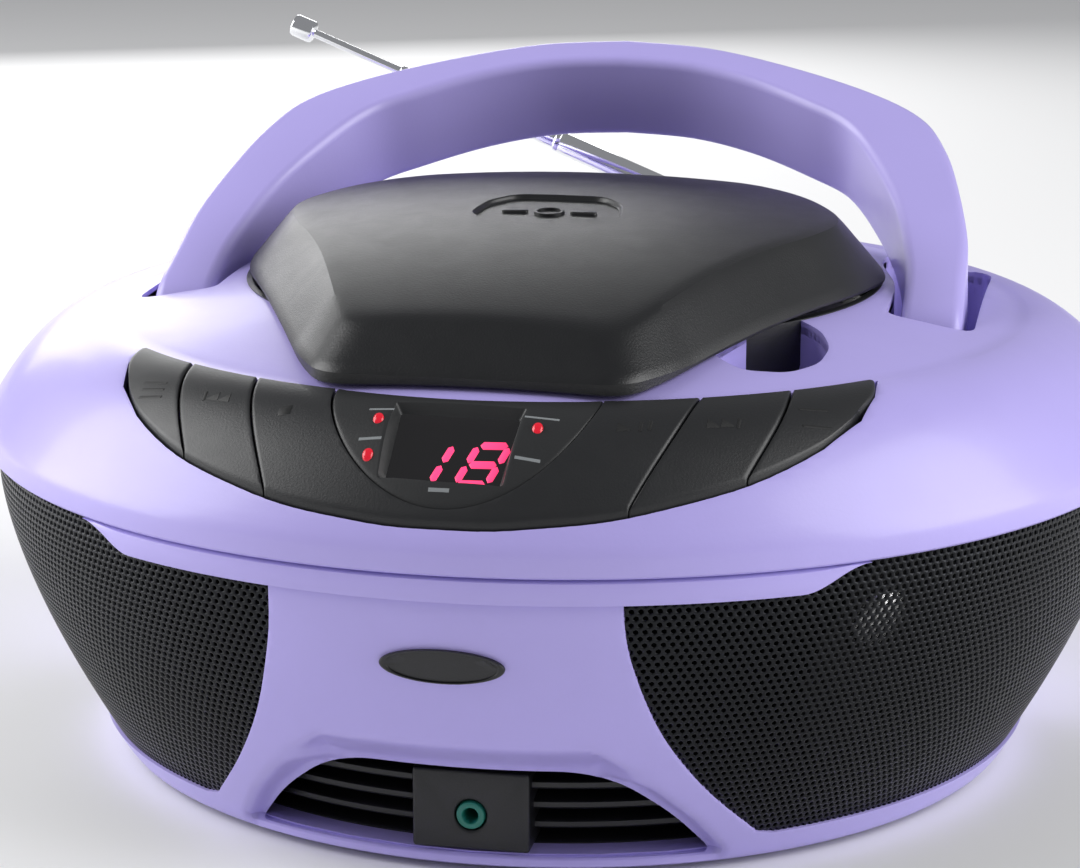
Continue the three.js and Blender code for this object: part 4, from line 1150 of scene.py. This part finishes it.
def speaker_detail(side, label):
    """The cone with its rolled edge, ribs and a bright metal cap."""
    body = f"cone_{label}"
    profile = [(28.2, -0.6), (27.6, 0.4), (26.6, 1.0), (25.6, 0.7), (24.9, -0.6), (24.4, -1.6)]
    profile += [(24.4 - 16.4 * t, -1.6 - 7.2 * t + 0.22 * math.sin(t * 26)) for t in np.linspace(0.05, 1, 24)]
    profile += [(7.6, -9.2), (7.4, -9.6), (7.6, -10.2), (24.4, -2.8), (28.2, -1.0), (28.2, -0.6)]
    cone = lathe(f"cone_{label}_shell", profile, PAPER, aspect=1.0, body=None, count=72)
    cone.matrix_world = speaker_matrix(side)
    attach(cone, body)
    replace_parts(cone, f"speaker_cone_{label}")
    cap_profile = [(0.01, -4.6)]
    cap_profile += [(7.6 * math.sin(t), -9.3 + 4.7 * math.cos(t)) for t in np.linspace(0.12, 1.57, 10)]
    cap_profile += [(7.6, -9.7), (0.01, -9.7)]
    cap = lathe(f"dust_cap_{label}", cap_profile, CAP, aspect=1.0, body=None, count=48)
    cap.matrix_world = speaker_matrix(side)
    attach(cap, body)


speaker_detail(-1, "left")
speaker_detail(1, "right")


# ---- Vent and phone jack ----
def box_verts(x0, x1, y0, y1, z0, z1):
    return [(x, y, z) for z in (z0, z1) for y in (y0, y1) for x in (x0, x1)]


BOX_FACES = [(0, 2, 3, 1), (4, 5, 7, 6), (0, 1, 5, 4), (2, 6, 7, 3), (0, 4, 6, 2), (1, 3, 7, 5)]


def vent():
    """A black grille set back in the arch: slats that follow the wall's curve, and the jack's plate."""
    columns = 41
    xs = np.linspace(-43, 43, columns)

    def wall_y(x, z):
        return -math.sqrt(max(1, (83.5 + z * 0.34) ** 2 - x * x)) * 0.985 + 1.5

    for n, (z0, z1, out) in enumerate(((3.0, 4.6, 1.2), (7.2, 9.0, 1.0), (11.4, 13.2, 0.8), (15.6, 17.4, 0.6),
                                       (19.6, 22.2, 0.4))):
        verts = []
        for x in xs:
            y = wall_y(x, z0) - out
            verts += [(x, y + 0.5, z0), (x, y, z0 + 0.45), (x, y, z1 - 0.45), (x, y + 0.5, z1), (x, y + 7, z1 + 0.8),
                      (x, y + 7, z0 + 0.8)]
        faces = grid_faces(columns, 6, wrap=True)
        faces += [tuple(range(6)), tuple(range(6 * columns - 6, 6 * columns))[::-1]]
        slat = new_object(f"vent_slat_{n + 1}", verts, faces, BLACK)
        if n == 0:
            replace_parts(slat, "vent_panel")
        sharpen(slat, 40)
    verts = [(x, wall_y(x, 12) + 6.5, z) for z in (1.8, 24) for x in xs]
    back = new_object("vent_backing", verts, grid_faces(2, columns), CLOTH)
    thicken(back, 1.0)
    plate = new_object("jack_plate", box_verts(-10.8, 10.8, -88.6, -78, 4.2, 19.4), BOX_FACES, BLACK,
                       smooth=False)
    jack_hole = prism("cut", circle(2.8, 32, 0, JACK_Z), -100, -60, axis="y")
    boolean(plate, [jack_hole])
    round_edges(plate, 0.7, 3, 50)
    sharpen(plate, 40)


vent()


def jack():
    """The headphone socket's ring and the dark bottom of its bore."""
    count = 40
    profile = [(1.4, 0.0), (1.4, 8.0), (1.6, 8.3), (2.0, 8.4), (2.5, 8.2), (2.65, 7.8), (2.65, 0.0), (1.4, 0.0)]
    verts = []
    for r, out in profile:
        for i in range(count):
            a = 2 * math.pi * i / count
            verts.append((r * math.cos(a), -80.5 - out, JACK_Z + r * math.sin(a)))
    ring = new_object("phone_jack_ring", verts, grid_faces(len(profile), count, wrap=True), TEAL)
    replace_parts(ring, "phone_jack")
    sharpen(ring, 40)
    verts = [(x, -81.5, z) for r in (0.01, 1.8) for x, z in circle(r, 24, 0, JACK_Z)]
    new_object("phone_jack_well", verts, grid_faces(2, 24, wrap=True), BLACK)


jack()


def badge():
    """A plain oval plaque with a raised rim; it carries no mark."""
    count = 72
    front = bowl_y(0, BADGE_Z) + 0.15
    rows = []
    for scale, out in ((1.0, -0.6), (1.0, 0.5), (0.985, 0.75), (0.93, 0.8), (0.9, 0.68), (0.885, 0.45),
                       (0.6, 0.45), (0.3, 0.45)):
        row = []
        for i in range(count):
            a = 2 * math.pi * i / count
            x, z = 11.0 * scale * math.cos(a), BADGE_Z + 3.3 * scale * math.sin(a)
            row.append((x, bowl_y(x, z) - out, z))
        rows.append(row)
    plaque = closed_rows("badge_plaque", rows, (0, front - 0.6, BADGE_Z), BLACK)
    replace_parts(plaque, "badge")
    return sharpen(plaque, 60)


badge()


# ---- Aerial ----
def aerial():
    """Three tubes and a rod along one line, each drawn out of the one before, with a tongue at the pivot."""
    pivot = Vector((43, 98, 79))
    rise = math.radians(22.2)
    along = Vector((-math.cos(rise), 0, math.sin(rise)))
    up = Vector((math.sin(rise), 0, math.cos(rise)))
    side = Vector((0, 1, 0))

    def tube(name, profile, body, node=None):
        count = 28
        verts = []
        for r, s in profile:
            for i in range(count):
                a = 2 * math.pi * i / count
                verts.append(tuple(pivot + along * s + up * (r * math.cos(a)) + side * (r * math.sin(a))))
        faces = grid_faces(len(profile), count, wrap=True)
        made = new_object(name, verts, faces, CHROME, body)
        if node:
            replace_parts(made, node)
        return sharpen(made, 40)

    outs = [0, 20, 21, 23]
    start = 3.4
    for n in range(3):
        start += outs[n]
        r = 2.6 - n * 0.5
        end = start + 66 - n * 0.6
        low = start + n * 0.6
        profile = [(r - 0.38, low), (r - 0.05, low), (r, low + 0.4), (r, end - 1.6), (r - 0.08, end - 1.5),
                   (r - 0.08, end - 1.3), (r, end - 1.2), (r - 0.02, end - 0.5), (r - 0.2, end - 0.1),
                   (r - 0.36, end), (r - 0.38, end - 0.4), (r - 0.38, low)]
        tube(f"aerial_section_{n + 1}", profile, f"aerial_{n + 1}", f"aerial_tube_{n + 1}")
    start += outs[3]
    end = start + 66 - 1.8
    rod = [(0.01, start + 2), (0.98, start + 2), (0.98, end - 0.3), (2.1, end - 0.1), (2.55, end + 0.3),
           (2.6, end + 0.8), (2.6, end + 4.6), (2.3, end + 5.2), (1.2, end + 5.4), (0.01, end + 5.4)]
    tube("aerial_rod", rod, "aerial_4", "aerial_tip")
    tongue = [(0.01, -2.4), (1.2, -2.2), (1.9, -1.2), (2.0, 0), (2.0, 3.0), (2.4, 3.8), (2.5, 4.6), (0.01, 4.6)]
    tube("aerial_joint", tongue, "aerial_1")


aerial()


# ---- Pieces kept from the CAD, with their finishes ----
def finish_nodes():
    looks = {
        "door_hinge_pin": STEEL, "handle_pin_right": STEEL, "handle_pin_left": STEEL, "volume_control": STEEL,
        "tuning_capacitor": WHITE, "power_inlet": BLACK, "base_plate": LAVENDER, "battery_door": LAVENDER,
        "battery_contacts_left": STEEL, "battery_contacts_right": STEEL, "speaker_left": STEEL,
        "speaker_right": STEEL, "drive_deck": BLACK, "spindle_motor": STEEL, "sled_rail": STEEL,
        "pickup_sled": BLACK, "sled_gear": WHITE, "main_board": BOARD, "power_transformer": COPPER,
        "function_switch": BLACK, "band_switch": BLACK, "turntable": BLACK, "aerial_base": CHROME,
    }
    for i in range(1, 5):
        looks[f"case_screw_{i}"] = STEEL
        looks[f"foot_{i}"] = RUBBER
    for name, mat in looks.items():
        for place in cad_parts[name].material_slots:
            place.material = mat


finish_nodes()


def knobs():
    """Fluted knobs with a pointer line, on the rear quarters."""
    for side, node, body in ((-1, "volume_knob", "volume"), (1, "tuning_knob", "tuning")):
        place = wall_matrix(side, KNOB_TURN, 1.2)
        count = 144
        rows = []
        for radius, out in ((3, -6), (3, 1.9), (10.8, 2), (11, 2.3), (10.9, 4), (10.6, 7), (10.1, 7.8), (9.2, 8.1),
                            (8.6, 7.9), (4, 7.7)):
            row = []
            for i in range(count):
                a = 2 * math.pi * i / count
                flute = 0.28 * (0.5 + 0.5 * math.cos(36 * a)) if 2.2 < out < 7.5 and radius > 5 else 0
                row.append(((radius - flute) * math.cos(a), (radius - flute) * math.sin(a), out))
            rows.append(row)
        cap = closed_rows(node + "_cap", rows, (0, 0, 7.7), BLACK, None, (0, 0, -6))
        cap.matrix_world = place
        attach(cap, body)
        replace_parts(cap, node)
        sharpen(cap, 40)
        line = new_object(node + "_line", box_verts(-0.4, 0.4, 4.5, 9, 7.6, 8.15), BOX_FACES, SILVER_PRINT, None)
        line.matrix_world = place
        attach(line, body)
        round_edges(line, 0.1, 1, 50)


knobs()


# ---- Stage ----
def floor():
    mesh = bpy.data.meshes.new("floor")
    s = 12.0
    mesh.from_pydata([(x, y, 0) for x, y in rect(-s, s, -s, s)], [], [(0, 1, 2, 3)])
    obj = bpy.data.objects.new("floor", mesh)
    scene.collection.objects.link(obj)
    mat = bpy.data.materials.new("floor_paper")
    mat.use_nodes = True
    shader = mat.node_tree.nodes["Principled BSDF"]
    shader.inputs["Base Color"].default_value = (0.84, 0.84, 0.84, 1)
    shader.inputs["Roughness"].default_value = 0.9
    mesh.materials.append(mat)


floor()


def light(name, place, aim_z, size, power):
    """A soft box turned to a point above the origin."""
    data = bpy.data.lights.new(name, "AREA")
    data.shape = "RECTANGLE"
    data.size, data.size_y = size
    data.energy = power
    obj = bpy.data.objects.new(name, data)
    obj.location = place
    direction = Vector((0, 0, aim_z)) - Vector(place)
    obj.rotation_euler = direction.to_track_quat("-Z", "Y").to_euler()
    scene.collection.objects.link(obj)


light("left_light", (-1.15, -0.1, 0.6), 0.05, (1.0, 1.2), 20)
light("right_light", (1.15, -0.1, 0.6), 0.05, (1.0, 1.2), 17)
light("back_light", (-0.5, 1.0, 0.35), 0.08, (0.8, 0.4), 4)

world = bpy.data.worlds.new("studio")
scene.world = world
world.use_nodes = True
scene.view_settings.view_transform = "Standard"
world.node_tree.nodes["Background"].inputs["Color"].default_value = (0.95, 0.96, 1.0, 1)
world.node_tree.nodes["Background"].inputs["Strength"].default_value = 0.28
